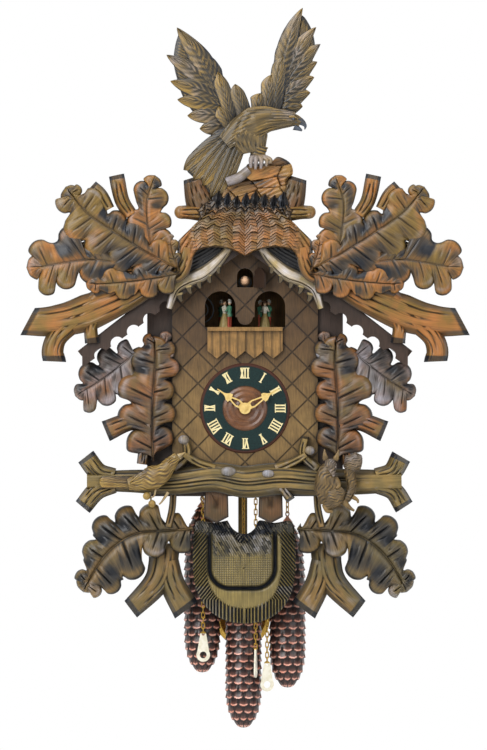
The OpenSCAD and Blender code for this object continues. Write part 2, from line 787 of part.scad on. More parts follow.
// One couple: a dancer in a bell skirt and a partner in a coat, touching
module couple() {
    h = dancer_h;
    translate([-4, 0, 0]) rotate_extrude($fn = 20) polygon([[0, 0], [7.5, 0], [6.5, 0.25 * h],
        [3, 0.55 * h], [4, 0.7 * h], [2, 0.8 * h], [3.4, 0.88 * h], [2.6, 0.96 * h],
        [0, 0.97 * h]]);
    translate([5, 0, 0]) rotate_extrude($fn = 20) polygon([[0, 0], [5, 0], [4, 0.06 * h],
        [3.4, 0.4 * h], [4.6, 0.5 * h], [4, 0.76 * h], [1.8, 0.82 * h], [3.2, 0.9 * h],
        [3.6, 0.94 * h], [2.4, h], [0, h]]);
}
module carousel() {
    top = stage_z - 1;
    color("#5a4028") translate([0, carousel_y, 0]) {
        translate([0, 0, top - 3]) cylinder(h = 3, r = turntable_r);
        translate([0, 0, shelf_top + slit]) cylinder(h = top - 3 - shelf_top, r = 5);
        translate([0, 0, shelf_z - 12]) cylinder(h = 20, r = spindle_r);
    }
    color("#4f7a5a") translate([0, carousel_y, top])
        for (k = [0:couples - 1]) rotate(dance_turn + 45 + 360 * k / couples - 90)
            translate([dance_r, 0, 0]) rotate(90) couple();
}

// ---------------------------------------------------------------- movement

// Toothed wheel outline: n trapezoid teeth on a disc of radius r
function gear_point(r, a) = [r * cos(a), r * sin(a)];
module gear_outline(r, n) {
    polygon([for (k = [0:n - 1]) let (a = 360 * k / n, p = 360 / n)
        each [gear_point(r - 2, a), gear_point(r - 2, a + p * 0.45),
            gear_point(r, a + p * 0.6), gear_point(r, a + p * 0.85)]]);
}

axis_x = [for (k = [0:2]) strand_x[k] + side_of[k] * sprocket_r];
pillar_r = 4;
module movement_frame() {
    half = plate_w / 2;
    color("#c9a24a") {
        difference() {
            union() {
                for (y = [plate_back_y, plate_front_y + mov_t])
                    board(y, mov_t) {
                        translate([-half, mov_bottom])
                            square([plate_w, mov_top - mov_bottom]);
                        for (x = [-half, half - 10]) translate([x, floor_z + board_t])
                            square([10, mov_bottom - floor_z - board_t]);
                    }
                for (x = [-half + 5, half - 5], z = [mov_bottom + 6, mov_top - 6])
                    translate([x, plate_back_y + 0.1, z]) rotate([90, 0, 0])
                        cylinder(h = plate_back_y - plate_front_y + 0.2, r = pillar_r);
            }
            for (x = axis_x) translate([x, 0, sprocket_z]) rotate([90, 0, 0])
                cylinder(h = 120, r = wheel_pivot_r + run_fit);
            translate([0, 0, dial_z]) rotate([90, 0, 0])
                cylinder(h = 120, r = arbor_r + run_fit);
            translate([pendulum_x, 0, pendulum_z]) rotate([90, 0, 0])
                cylinder(h = 50, r = wheel_pivot_r + run_fit);
        }
        // Suspension cock behind the back plate, with the pin that carries the pendulum
        union() {
            union() {
                translate([pendulum_x - 6, plate_back_y, mov_top - 10]) cube([12, 26, 4]);
                translate([pendulum_x - 6, pendulum_y + 8, pendulum_z - 6])
                    cube([12, 3, mov_top - 6 - pendulum_z + 6]);
                translate([pendulum_x, pendulum_y + 9, pendulum_z]) rotate([90, 0, 0])
                    cylinder(h = 11.8, r = pin_r);
            }
        }
        // Bridge that carries the front end of the anchor's arbor
        difference() {
            union() {
                board(bridge_y, mov_t) translate([pendulum_x - 22, pendulum_z - 4])
                    square([44, 14]);
                for (s = [-1, 1]) translate([pendulum_x + s * 18, plate_back_y - 1,
                    pendulum_z + 5]) rotate([90, 0, 0])
                        cylinder(h = plate_back_y - bridge_y, r = 2);
            }
            translate([pendulum_x, 0, pendulum_z]) rotate([90, 0, 0])
                cylinder(h = 120, r = wheel_pivot_r + run_fit);
        }
    }
}
bridge_y = -58;
pin_r = 1.5;
wheel_pivot_r = 1.5;

// Great wheel: the toothed wheel, the chain wheel beside it and their arbor
module great_wheel(k) {
    color("#d2ac58") translate([axis_x[k], 0, sprocket_z]) rotate([90, 0, 0]) {
        translate([0, 0, -plate_back_y + 1]) cylinder(h = 50, r = wheel_pivot_r);
        translate([0, 0, -plate_back_y + 4 + 4 * (k % 2)]) linear_extrude(2)
            gear_outline(22, 48);
        translate([0, 0, -weight_y - 4.2]) {
            cylinder(h = 1, r = sprocket_r + 2);
            cylinder(h = 8.4, r = sprocket_r - link_half - slit / 2);
        }
    }
}
module great_wheel_left() { great_wheel(0); }
module great_wheel_centre() { great_wheel(1); }
module great_wheel_right() { great_wheel(2); }

crutch_y = pendulum_y - 5;
module anchor() {
    reach = 16;
    color("#a0a4a8") translate([pendulum_x, 0, pendulum_z]) {
        rotate([90, 0, 0]) translate([0, 0, -crutch_y - 1.5])
            cylinder(h = crutch_y + 1.5 - bridge_y + mov_t + 1, r = wheel_pivot_r);
        board(plate_back_y - 7, 3) union() {
            circle(4);
            polygon([[-3, 0], [-reach, -12], [-reach + 3, -17], [0, -6], [reach - 3, -17],
                [reach, -12], [3, 0], [0, 4]]);
        }
        board(crutch_y + 1.5, 1.5) union() {
            circle(3.5);
            translate([-1.5, -52]) square([3, 52]);
        }
        for (s = [-1, 1]) translate([s * (rod_w / 2 + 1) - 0.5, crutch_y, -54])
            cube([1, 8, 6]);
        translate([-rod_w / 2 - 1.5, crutch_y, -54]) cube([rod_w + 3, 1.5, 6]);
    }
}

rod_t = 5;
bob_z = pendulum_z - pendulum_len;
module pendulum_rod() {
    color("#6f5a30") difference() {
        board(pendulum_y + rod_t / 2, rod_t) translate([pendulum_x - rod_w / 2, bob_z])
            square([rod_w, pendulum_len + 8]);
        translate([pendulum_x, 0, pendulum_z]) rotate([90, 0, 0])
            cylinder(h = 60, r = pin_r + run_fit);
    }
}
// Domed bob that grips the rod in a groove behind it
module pendulum_bob() {
    color("#6b4a2a") difference() {
        translate([pendulum_x, pendulum_y + 4, bob_z]) rotate([90, 0, 0]) rotate_extrude()
            polygon([[0, 0], [bob_r - 3, 0], [bob_r, 3], [bob_r - 6, 8], [bob_r / 2, 11.5],
                [0, 13]]);
        board(pendulum_y + rod_t / 2 + 2, rod_t + 2)
            translate([pendulum_x - rod_w / 2, bob_z]) square([rod_w, bob_r + 10]);
    }
}

// Bellows: a fixed pipe on each side and a hinged top that lifts and drops
pipe_x0 = 82;
pipe_w = case_x - board_t - pipe_x0;
pipe_y = -56;
pipe_d = 44;
pipe_top = -112;
pipe_bottom = -216;
module bellows_pipe() {
    color("#8a6a3c") difference() {
        translate([-pipe_x0 - pipe_w, pipe_y - pipe_d, pipe_bottom])
            cube([pipe_w, pipe_d, pipe_top - pipe_bottom]);
        translate([-pipe_x0 - pipe_w + 4, pipe_y - pipe_d - 1, pipe_top - 40])
            cube([pipe_w - 8, 12, 16]);
    }
}
module bellows_tubes() { both() bellows_pipe(); }
module bellows_top() {
    color("#d8c8a8") {
        w = pipe_w - 2 * slit - 1;
        translate([-pipe_x0 - w, pipe_y - pipe_d, pipe_top + slit]) cube([w, pipe_d, 6]);
        translate([-pipe_x0 - w, pipe_y - pipe_d, pipe_top + slit + 6])
            cube([w, pipe_d, 3]);
    }
}
module bellows_left() { bellows_top(); }
module bellows_right() { mirror([1, 0, 0]) bellows_top(); }

// Coiled gong wire on its post
gong_x = -60;
gong_z = -38;
module gong() {
    turns = 2.5;
    steps = 40;
    color("#8c8f94") {
        translate([gong_x, -back_t, gong_z]) rotate([90, 0, 0]) cylinder(h = 10, r = 4);
        loft([for (i = [0:steps]) let (u = i / steps, a = 360 * turns * u, r = lerp(3, 22, u))
            [for (k = [0:5]) let (b = -60 * k, q = r + 1.1 * cos(b))
                [gong_x + q * cos(a), -back_t - 7 - 1.1 * sin(b), gong_z + q * sin(a)]]]);
    }
}

// Musical movement on the attic shelf: bedplate, pinned cylinder and tooth comb
module music_movement() {
    x0 = -112;
    y0 = -100;
    color("#c9a24a") {
        translate([x0, y0, shelf_top]) cube([46, 66, 3]);
        for (y = [y0 + 6, y0 + 56]) translate([x0 + 6, y, shelf_top]) cube([14, 4, 17]);
        translate([x0 + 13, y0 + 8, shelf_top + 10]) rotate([-90, 0, 0])
            cylinder(h = 50, r = 6);
        translate([x0 + 24, y0 + 12, shelf_top]) cube([18, 42, 8]);
        for (k = [0:13]) translate([x0 + 20.5, y0 + 13 + 3 * k, shelf_top + 7])
            cube([16, 1.8, 1.5]);
    }
}

// ---------------------------------------------------------------- chains and weights

// One oval chain link round the origin, its long axis along Z, flat in X and Z
link_reach = (link_pitch + link_wire + slit) / 2;
module link() {
    r = link_bend;
    straight = 2 * (link_reach - r);
    for (s = [0, 180]) rotate([0, s, 0]) {
        translate([0, 0, straight / 2]) rotate([90, 0, 0])
            rotate_extrude(angle = 180, $fn = 24) translate([r, 0]) circle(link_wire / 2);
        translate([r, 0, -straight / 2]) cylinder(h = straight, r = link_wire / 2, $fn = 24);
    }
}
// n links up from a point, each a quarter turn from its neighbour
module chain_up(x, y, bottom, n, turn) {
    color("#c9a24a") for (k = [0:n - 1]) translate([x, y, bottom + (k + 0.5) * link_pitch])
        rotate(turn + 90 * (k % 2)) link();
}
function links_between(top, bottom) = floor((top - bottom) / link_pitch);

module weight_chain(k) {
    top = sprocket_z + weight_travel;
    bottom = cone_top[k] + eye_z + eye_r - eye_wire - link_wire / 2 - slit + link_reach
        - link_pitch / 2;
    chain_up(strand_x[k], weight_y, bottom, links_between(top, bottom), 45);
}
module weight_chain_left() { weight_chain(0); }
module weight_chain_centre() { weight_chain(1); }
module weight_chain_right() { weight_chain(2); }

// Ring strand: the loose end of the chain and the flat tag that it ends in
tag_t = 2;
module tag() {
    board(tag_t / 2, tag_t) difference() {
        union() {
            circle(4);
            polygon([[-4, 0], [-8.5, -26], [8.5, -26], [4, 0]]);
            translate([0, -27]) circle(9);
        }
        circle(tag_hole);
        translate([0, -27]) circle(4.5);
    }
}
tag_hole = 1.8;
tag_turn = [0, 80, 10];
ring_head = floor_z + 24;
lane = 2 * link_half + slit;
function ring_links(k) = links_between(ring_head, tag_top[k]);
module ring_chain(k) {
    chain_up(ring_x[k], ring_y, tag_top[k], ring_links(k), tag_turn[k] + 90);
    color("#f4efe0") translate([ring_x[k], ring_y, tag_top[k] + link_pitch / 2 - link_reach
        - tag_hole + link_wire / 2 + slit]) rotate(tag_turn[k]) tag();
}
module ring_chain_left() { ring_chain(0); }
module ring_chain_centre() { ring_chain(1); }
module ring_chain_right() { ring_chain(2); }

// The stretch of each chain that lies over its chain wheel and leads to its ring strand
module chain_run(a, b) {
    n = floor(norm(b - a) / link_pitch);
    d = unit(b - a);
    color("#c9a24a") for (k = [0:n - 1]) translate(a + d * (k + 0.5) * link_pitch)
        rotate([0, acos(d[2]), atan2(d[1], d[0])]) rotate(90 * ((n - 1 - k) % 2)) link();
}
link_angle = link_pitch / sprocket_r * 180 / PI;
module inner_chains() {
    for (k = [0:2]) let (s = side_of[k], leave = [axis_x[k] + s * sprocket_r, weight_y,
        sprocket_z]) {
        color("#c9a24a") for (j = [0:3]) let (a = (j - 0.5) * link_angle)
            translate([axis_x[k], weight_y, sprocket_z]) rotate([0, s > 0 ? -a : a - 180, 0])
                translate([sprocket_r, 0, 0]) rotate(90 * (j % 2)) link();
        chain_run(leave + [0, 0, -link_pitch * 0.95],
            [ring_x[k], ring_y + lane, tag_top[k] + (ring_links(k) - 0.5) * link_pitch]);
    }
}

// Radius of a pine cone at u of its length from the top: a tube with rounded ends
function rounding(t) = sqrt(1 - pow(1 - min(1, max(t, 0.03)), 2));
function cone_radius(u) = cone_r * rounding(u / 0.4) * rounding((1 - u) / 0.3);
// Eye on the cone's head, in which the chain's last link hangs
eye_r = 3;
eye_wire = 0.8;
eye_z = 5;
module cone(k) {
    step = cone_len / cone_rows;
    color("#3a2622") translate([strand_x[k], weight_y, cone_top[k]]) {
        rotate_extrude() polygon(concat([[0, 0]],
            [for (i = [0:cone_rows - 1]) let (u = i / cone_rows)
                each [[cone_radius(u) * 0.86, -i * step],
                    [cone_radius(u + 0.7 / cone_rows), -(i + 0.75) * step]]],
            [[0, -cone_len]]));
        translate([0, 0, eye_z]) rotate([90, 0, 135]) rotate_extrude()
            translate([eye_r, 0]) circle(eye_wire, $fn = 24);
        translate([0, 0, -2]) cylinder(h = eye_z - eye_r + 2, r = 1.2);
    }
}
module cone_left() { cone(0); }
module cone_centre() { cone(1); }
module cone_right() { cone(2); }

// ---------------------------------------------------------------- nodes

side_board_left();
side_board_right();
case_floor();
back_board();
case_front();
lattice_panel();
back_door();
hanger_plate();
attic_shelf();
roof_left();
roof_right();
bargeboards();
gable_arches();
crown();
eagle_body();
eagle_wings();
eagle_rock();
eave_branch_left();
eave_branch_right();
top_leaves_left();
top_leaves_right();
cross_branch();
songbird();
squirrel();
upright_leaves_left();
upright_leaves_right();
lower_leaf_left();
lower_leaf_right();
lower_forks();
nest_plate();
balcony();
dial();
numerals();
hour_hand();
minute_hand();
cuckoo_bird();
cuckoo_door();
carousel();
movement_frame();
great_wheel_left();
great_wheel_centre();
great_wheel_right();
anchor();
pendulum_rod();
pendulum_bob();
bellows_left();
bellows_right();
bellows_tubes();
gong();
music_movement();
inner_chains();
cone_left();
cone_centre();
cone_right();
weight_chain_left();
weight_chain_centre();
weight_chain_right();
ring_chain_left();
ring_chain_centre();
ring_chain_right();
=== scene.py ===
"""Carved wooden cuckoo clock with an eagle, oak leaves, dancers and pine-cone weights.

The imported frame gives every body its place. Carved pieces are numpy surfaces in millimetres,
turned to metres when their mesh is made, and each rides on the body that carries it.
"""
import logging
import math
from dataclasses import dataclass
from enum import Enum
from functools import partial
from typing import Callable, Optional, Sequence

import bmesh
import bpy
import numpy as np
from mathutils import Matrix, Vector


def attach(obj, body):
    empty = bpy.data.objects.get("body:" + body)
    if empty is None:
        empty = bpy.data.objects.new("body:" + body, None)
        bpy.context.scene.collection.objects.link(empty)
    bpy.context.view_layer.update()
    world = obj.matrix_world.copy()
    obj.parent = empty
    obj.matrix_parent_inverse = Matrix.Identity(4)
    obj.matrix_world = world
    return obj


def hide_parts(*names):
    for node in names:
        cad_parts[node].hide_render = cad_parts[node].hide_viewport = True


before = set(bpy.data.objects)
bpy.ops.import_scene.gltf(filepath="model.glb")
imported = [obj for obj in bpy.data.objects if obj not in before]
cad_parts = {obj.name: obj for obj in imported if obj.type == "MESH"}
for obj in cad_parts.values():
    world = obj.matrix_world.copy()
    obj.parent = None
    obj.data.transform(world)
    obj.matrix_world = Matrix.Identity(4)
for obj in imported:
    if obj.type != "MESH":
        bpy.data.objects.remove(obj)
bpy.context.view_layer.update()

MM = 0.001
LOG = logging.getLogger("clock")
TURN = 2 * np.pi
Point = tuple[float, float]
Array = np.ndarray
Material = bpy.types.Material
Socket = bpy.types.NodeSocket
# Carving value behind a slab, as a share of the front's: the back keeps its dark stain.
BACK_CARVE = 0.3
# Angle in degrees above which an edge stays sharp.
SHARP = 38.0
# A Mix node that blends colours, and its colour output.
COLOURS = {"out": 2, "data_type": "RGBA"}


# ------------------------------------------------------------------ numbers and curves

def curve(points: Sequence[Sequence[float]], count: int) -> Array:
    """Catmull-Rom curve through control points, even in arc length.

    Each span is a cubic whose end slopes are half the chord of its neighbours; the dense curve
    is then read at equal steps of its own length.

    Args:
        points: Control points, any dimension.
        count: Number of points returned.

    Returns:
        Array of count points.
    """
    p = np.asarray(points, float)
    if len(p) == 2:
        return p[0] + (p[1] - p[0]) * np.linspace(0, 1, count)[:, None]
    q = np.vstack([2 * p[0] - p[1], p, 2 * p[-1] - p[-2]])
    t = np.linspace(0, 1, 24, endpoint=False)[:, None, None]
    a, b, c, d = q[None, :-3], q[None, 1:-2], q[None, 2:-1], q[None, 3:]
    span = 0.5 * (2 * b + (c - a) * t + (2 * a - 5 * b + 4 * c - d) * t**2
                  + (3 * b - a - 3 * c + d) * t**3)
    dense = np.vstack([span.transpose(1, 0, 2).reshape(-1, p.shape[1]), p[-1]])
    walk = np.r_[0, np.cumsum(np.linalg.norm(np.diff(dense, axis=0), axis=1))]
    at = np.linspace(0, walk[-1], count)
    return np.stack([np.interp(at, walk, dense[:, k]) for k in range(dense.shape[1])], axis=1)


def along(values: Sequence[float], count: int) -> Array:
    """Values given at equal steps, read smoothly at count steps."""
    if len(values) == 2:
        return np.linspace(*values, count)
    fine = curve([(float(i), float(v)) for i, v in enumerate(values)], 400)[:, 1]
    return fine[np.linspace(0, len(fine) - 1, count).astype(int)]


def headings(path: Array) -> Array:
    """Unit direction of a path at each of its points."""
    d = np.gradient(path, axis=0)
    return d / np.maximum(np.linalg.norm(d, axis=1, keepdims=True), 1e-9)


def bell(x: Array, width: float) -> Array:
    """Gaussian bump of height 1 round zero."""
    return np.exp(-(x / width) ** 2)


def ramp(x: Array, low: float, high: float) -> Array:
    """Smooth step from 0 at low to 1 at high."""
    t = np.clip((x - low) / (high - low), 0, 1)
    return t * t * (3 - 2 * t)


# ------------------------------------------------------------------ surfaces

@dataclass
class Surface:
    """Points, faces and per-point carving data of one closed form, in millimetres.

    Attributes:
        points: Positions, n by 3.
        faces: Quads as point numbers, m by 4.
        carve: 0 in a cut or recess, 1 on a raised face.
        tone: 0 to 1 choice between the finish's colours; on carved wood, how much painted grey
        sheen shows.
        grain: Position along and across the grain, in millimetres.
    """
    points: Array
    faces: Array
    carve: Array
    tone: Array
    grain: Array

    def turned_out(self) -> "Surface":
        """The same form with its faces pointing outwards, by the sign of its volume."""
        a, b, c, d = (self.points[self.faces[:, k]] for k in range(4))
        volume = np.einsum("ij,ij->i", a, np.cross(b, c)).sum() \
            + np.einsum("ij,ij->i", a, np.cross(c, d)).sum()
        if volume < 0:
            self.faces = self.faces[:, ::-1]
        return self

    def mirrored(self) -> "Surface":
        """The form's mirror image in the clock's middle plane."""
        return Surface(self.points * [-1, 1, 1], self.faces[:, ::-1], self.carve, self.tone,
                       self.grain)


def grid_faces(rows: int, cols: int, wrap: bool = False) -> Array:
    """Quads between the points of a rows by cols grid, with columns joined round if wrap."""
    i, j = np.meshgrid(np.arange(rows - 1), np.arange(cols if wrap else cols - 1),
                       indexing="ij")
    k = (j + 1) % cols
    quad = np.stack([i * cols + j, i * cols + k, (i + 1) * cols + k, (i + 1) * cols + j], -1)
    return quad.reshape(-1, 4)


def wrapped(ring: Array, carve: Array | float, tone: Array | float, *grain: Array) -> Surface:
    """Closed form from a grid of points whose last column joins its first."""
    rows, cols = ring.shape[:2]
    carve, tone, *grain = (np.broadcast_to(v, (rows, cols)) for v in (carve, tone, *grain))
    return Surface(ring.reshape(-1, 3), grid_faces(rows, cols, True), carve.ravel(),
                   tone.ravel(), np.stack(grain, -1).reshape(-1, 2)).turned_out()


def slab(x: Array, y: Array, z: Array, y_back: float, carve: Array, tone: Array | float,
         grain: tuple[Array, Array], straight: bool = True) -> Surface:
    """Closed form between a carved front grid and the same outline on a flat back.

    Behind, every row may run straight from its first point to its last: the back points
    between are laid on those two, and make_piece merges them.

    Args:
        x: Position across of each front point, rows by columns.
        y: Depth of each front point.
        z: Height of each front point.
        y_back: Depth of the flat back.
        carve: Carving value at each front point, cut off at 0 and 1.
        tone: Tone at each front point, or one for all, cut off at 0 and 1.
        grain: Position along and across the grain at each front point.
        straight: Whether the rows run straight behind.

    Returns:
        The closed surface.
    """
    front = np.stack(np.broadcast_arrays(x, y, z), -1).astype(float)
    rows, cols = front.shape[:2]
    back = front.copy()
    back[..., 1] = y_back
    near = (np.arange(cols) < cols // 2)[None, :, None]
    if straight:
        back[1:-1] = np.where(near, back[1:-1, :1], back[1:-1, -1:])
    index = np.arange(rows * cols).reshape(rows, cols)
    rim = np.concatenate([index[0, :-1], index[:-1, -1], index[-1, :0:-1], index[:0:-1, 0]])
    after = np.roll(rim, -1)
    side = np.stack([rim, after, after + rows * cols, rim + rows * cols], -1)
    face = grid_faces(rows, cols)
    carve, tone = (np.clip(np.broadcast_to(v, (rows, cols)), 0, 1).ravel() for v in (carve, tone))
    grain = np.stack(np.broadcast_arrays(*grain), -1).reshape(-1, 2)
    return Surface(
        np.vstack([front.reshape(-1, 3), back.reshape(-1, 3)]),
        np.vstack([face, face[:, ::-1] + rows * cols, side[:, ::-1]]),
        np.r_[carve, carve * BACK_CARVE], np.r_[tone, tone], np.vstack([grain] * 2)).turned_out()


def fan(outline: Sequence[Point], middle: Point, around: int, rings: int
        ) -> tuple[Array, Array, Array]:
    """Polar grid over a closed smooth outline: share of the radius, x and z of each point."""
    ring = curve([*outline, outline[0]], around)
    r = np.linspace(0, 1, rings)[None] ** 0.8
    return (r, *(middle[k] + (ring[:, k:k + 1] - middle[k]) * r for k in (0, 1)))


def tube(path: Array, side: Array, depth: Array, carve: Array | float,
         tone: Array | float) -> Surface:
    """Closed form swept along a path: each ring is path + across * side + front * depth.

    Across is square to the heading in the plane of the dial, front is towards the viewer. The
    first and last rings shrink to their middles.

    Args:
        path: Middle of each ring, n by 3.
        side: Offset across for each ring and column.
        depth: Offset to the front for each ring and column.
        carve: Carving value at each ring point.
        tone: Tone at each ring point.

    Returns:
        The closed surface.
    """
    head = headings(path)
    lateral = np.stack([-head[:, 2], np.zeros(len(head)), head[:, 0]], -1)
    lateral /= np.maximum(np.linalg.norm(lateral, axis=1, keepdims=True), 1e-9)
    front = np.cross(lateral, head)
    front *= np.where(front[:, 1:2] > 0, -1, 1)
    ring = path[:, None] + lateral[:, None] * side[..., None] + front[:, None] * depth[..., None]
    ends = [np.broadcast_to(r.mean(0), r.shape) for r in (ring[0], ring[-1])]
    ring = np.concatenate([ends[0][None], ring, ends[1][None]])
    rows, cols = ring.shape[:2]
    walk = np.r_[0, np.cumsum(np.linalg.norm(np.diff(path, axis=0), axis=1))]
    walk = np.r_[walk[0], walk, walk[-1]]
    girth = np.linalg.norm(np.diff(ring, axis=1, append=ring[:, :1]), axis=2).mean(0)
    around = np.r_[0, np.cumsum(girth)[:-1]]
    carve, tone = (np.pad(np.broadcast_to(v, (rows - 2, cols)), ((1, 1), (0, 0)), "edge")
                   for v in (carve, tone))
    return wrapped(ring, carve, tone, walk[:, None], around[None])


def rounded(stations: Sequence[Sequence[float]], y: float, rows: int, cols: int, tone: float,
            relief: Optional[Callable[[Array, Array], Array]] = None) -> Surface:
    """Oval form along stations, with its surface moved out or in by a relief.

    Args:
        stations: (x, z, half width, half depth) along it; where it stands ahead of the depth
            y, a fifth number says how far.
        y: Depth of its middle.
        rows: Rings.
        cols: Points round a ring.
        tone: Tone of the whole form.
        relief: Offset in millimetres for (share of length, angle in turns).

    Returns:
        The closed surface, with carve low where the relief is low.
    """
    p = curve([(x, y - sum(ahead), z) for x, z, _, _, *ahead in stations], rows)
    width, deep = ([q[k] for q in stations] for k in (2, 3))
    u, v = np.meshgrid(np.linspace(0, 1, rows), np.arange(cols) / cols, indexing="ij")
    move = relief(u, v) if relief else np.zeros_like(u)
    a = along(width, rows)[:, None] + move
    b = along(deep, rows)[:, None] + move
    lift = move - move.min()
    carve = 0.25 + 0.7 * lift / max(lift.max(), 1e-6) if relief else 0.8
    return tube(p, a * np.cos(TURN * v), b * np.sin(TURN * v), carve, tone)


def turned(profile: Sequence[Point], place: Sequence[float], cols: int,
           axis: str = "Z", tone: float = 0.5, rows: int = 0,
           relief: Optional[Callable[[Array, Array], Array]] = None) -> Surface:
    """Lathe form: a profile of (radius, height) points turned round an axis.

    Args:
        profile: (radius, height) points, or control points of a curve if rows is given.
        place: Where the axis' zero lies.
        cols: Points round.
        axis: Z for upright, Y for pointing at the viewer, X for lying across.
        tone: Tone of the form.
        rows: Rings of a smooth curve through the profile.
        relief: Radius offset for (share along the profile, angle in turns).

    Returns:
        The closed surface.
    """
    p = curve(profile, rows) if rows else np.asarray(profile, float)
    u, v = np.meshgrid(np.linspace(0, 1, len(p)), np.arange(cols) / cols, indexing="ij")
    move = relief(u, v) if relief else np.zeros_like(u)
    r = np.maximum(p[:, :1] + move * (p[:, :1] > 1e-6), 0)
    a, b, c = r * np.cos(TURN * v), r * np.sin(TURN * v), p[:, 1:] + 0 * v
    order = {"Z": (a, b, c), "Y": (a, -c, b), "X": (c, a, b)}[axis]
    ring = np.stack(order, -1) + np.asarray(place, float)
    lift = move - move.min()
    carve = 0.2 + 0.75 * lift / lift.max() if relief else 0.8
    return wrapped(ring, carve, tone, c, r * TURN * v)


def ball(centre: Sequence[float], radii: Sequence[float], tone: float,
         rows: int = 14, cols: int = 20) -> Surface:
    """Ellipsoid: rings whose radius is the sine and height the cosine of the polar angle."""
    a, v = np.meshgrid(np.linspace(0, np.pi, rows), np.arange(cols) / cols * TURN,
                       indexing="ij")
    unit = np.stack([np.sin(a) * np.cos(v), np.sin(a) * np.sin(v), np.cos(a)], -1)
    p = unit * np.asarray(radii, float) + np.asarray(centre, float)
    return wrapped(p, 0.8, tone, p[..., 2], p[..., 0])


def make_piece(name: str, forms: Sequence[Surface], finish: Material, body: str,
               stands_for: Sequence[str] = ()) -> bpy.types.Object:
    """Make one Blender object from several closed forms and let it ride on its body.

    Each form stands a few hundredths of a millimetre before the last, so that no two backs lie
    in one plane.

    Args:
        name: Piece name.
        forms: Closed forms in millimetres.
        finish: Material.
        body: CAD body that carries it.
        stands_for: CAD nodes it replaces.

    Returns:
        The finished object.
    """
    count = np.cumsum([0] + [len(f.points) for f in forms])
    steps = [np.array([0, -0.07 * (k % 9), 0]) for k in range(len(forms))]
    points = np.vstack([f.points + step for f, step in zip(forms, steps)]) * MM
    faces = np.vstack([f.faces + n for f, n in zip(forms, count)]).astype(np.int32)
    mesh = bpy.data.meshes.new(name)
    mesh.vertices.add(len(points))
    mesh.vertices.foreach_set("co", points.astype(np.float32).ravel())
    mesh.loops.add(faces.size)
    mesh.loops.foreach_set("vertex_index", faces.ravel())
    mesh.polygons.add(len(faces))
    mesh.polygons.foreach_set("loop_start", np.arange(0, faces.size, 4, dtype=np.int32))
    mesh.update(calc_edges=True)
    for key, values in (("carve", [f.carve for f in forms]), ("tone", [f.tone for f in forms])):
        layer = mesh.attributes.new(key, "FLOAT", "POINT")
        layer.data.foreach_set("value", np.concatenate(values).astype(np.float32))
    grain = np.vstack([f.grain for f in forms]) * MM
    uv = mesh.uv_layers.new(name="grain")
    uv.data.foreach_set("uv", grain[faces.ravel()].astype(np.float32).ravel())
    work = bmesh.new()
    work.from_mesh(mesh)
    bmesh.ops.remove_doubles(work, verts=work.verts, dist=2e-6)
    bmesh.ops.dissolve_degenerate(work, edges=work.edges, dist=1e-7)
    work.to_mesh(mesh)
    work.free()
    mesh.shade_smooth()
    mesh.set_sharp_from_angle(angle=math.radians(SHARP))
    mesh.materials.append(finish)
    piece = bpy.data.objects.new(name, mesh)
    bpy.context.scene.collection.objects.link(piece)
    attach(piece, body)
    if stands_for:
        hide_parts(*stands_for)
    LOG.info("%s: %d faces on %s", name, len(mesh.polygons), body)
    return piece


# ------------------------------------------------------------------ finishes

def linear(hex_colour: str) -> tuple[float, float, float, float]:
    """Linear RGBA of an sRGB hex colour."""
    raw = [int(hex_colour[k:k + 2], 16) / 255 for k in (1, 3, 5)]
    return (*(c / 12.92 if c <= 0.04045 else ((c + 0.055) / 1.055) ** 2.4 for c in raw), 1.0)


def set_inputs(node: bpy.types.Node, values: dict) -> None:
    """Set a node's inputs, by name or number, to values or link them to other nodes' outputs."""
    for key, value in values.items():
        if isinstance(value, Socket):
            node.id_data.links.new(value, node.inputs[key])
        else:
            node.inputs[key].default_value = value


def add_node(tree: bpy.types.NodeTree, kind: str, inputs: Optional[dict] = None,
             out: str | int = 0, stops: Sequence[tuple[float, str]] = (),
             **settings: object) -> Socket:
    """Add one shader node.

    Inputs 1 to 4 of a MapRange are its from-low, from-high, to-low and to-high; 0, 6 and 7 of a
    colour Mix are its factor and its two colours.

    Args:
        tree: The material's node tree.
        kind: Node type without its ShaderNode prefix.
        inputs: Input name or number to a value, or to an output to link.
        out: Name or number of the output that is wanted.
        stops: (position, hex colour) stops of a colour ramp.
        **settings: Node properties.

    Returns:
        The wanted output.
    """
    node = tree.nodes.new("ShaderNode" + kind)
    for key, value in settings.items():
        setattr(node, key, value)
    if stops:
        band = node.color_ramp.elements
        while len(band) < len(stops):
            band.new(0.5)
        for element, (at, colour) in zip(band, stops):
            element.position, element.color = at, linear(colour)
    set_inputs(node, inputs or {})
    return node.outputs[out]


def opened(material: Material) -> tuple[Callable, bpy.types.Node, Optional[Socket]]:
    """What adds a node to a material, its shader and the output that its colour comes from."""
    shader = material.node_tree.nodes["Principled BSDF"]
    links = shader.inputs["Base Color"].links
    return (partial(add_node, material.node_tree), shader,
            links[0].from_socket if links else None)


def new_material(name: str) -> Material:
    """Material with an untouched shader."""
    material = bpy.data.materials.new(name)
    material.use_nodes = True
    return material


def shaded(add: Callable, colour: Socket, *levels: Socket) -> Socket:
    """A colour multiplied by one level, or by a level for each of red, green and blue."""
    tint = add("CombineColor", dict(enumerate(levels * (3 // len(levels)))))
    return add("Mix", {0: 1.0, 6: colour, 7: tint}, **COLOURS, blend_type="MULTIPLY")


# Wood fibres per metre: 0.6 mm apart in limewood, drawn 1.2 mm apart so that they show, and
# 38 mm long where a carved surface lays them out.
FIBRES, FIBRE_ENDS = 820.0, 26.0
# Painted shade: ambient occlusion darkens the colour in creases and overlaps, looking this far for
# other surfaces, in metres.
CREASE = 0.022


class Grain(Enum):
    """Where a wood finish takes its grain direction from: the surface, or squeezed axes."""
    SURFACE = "grain"
    UPRIGHT = (1.0, 1.0, 0.08)
    LEVEL = (0.08, 1.0, 1.0)


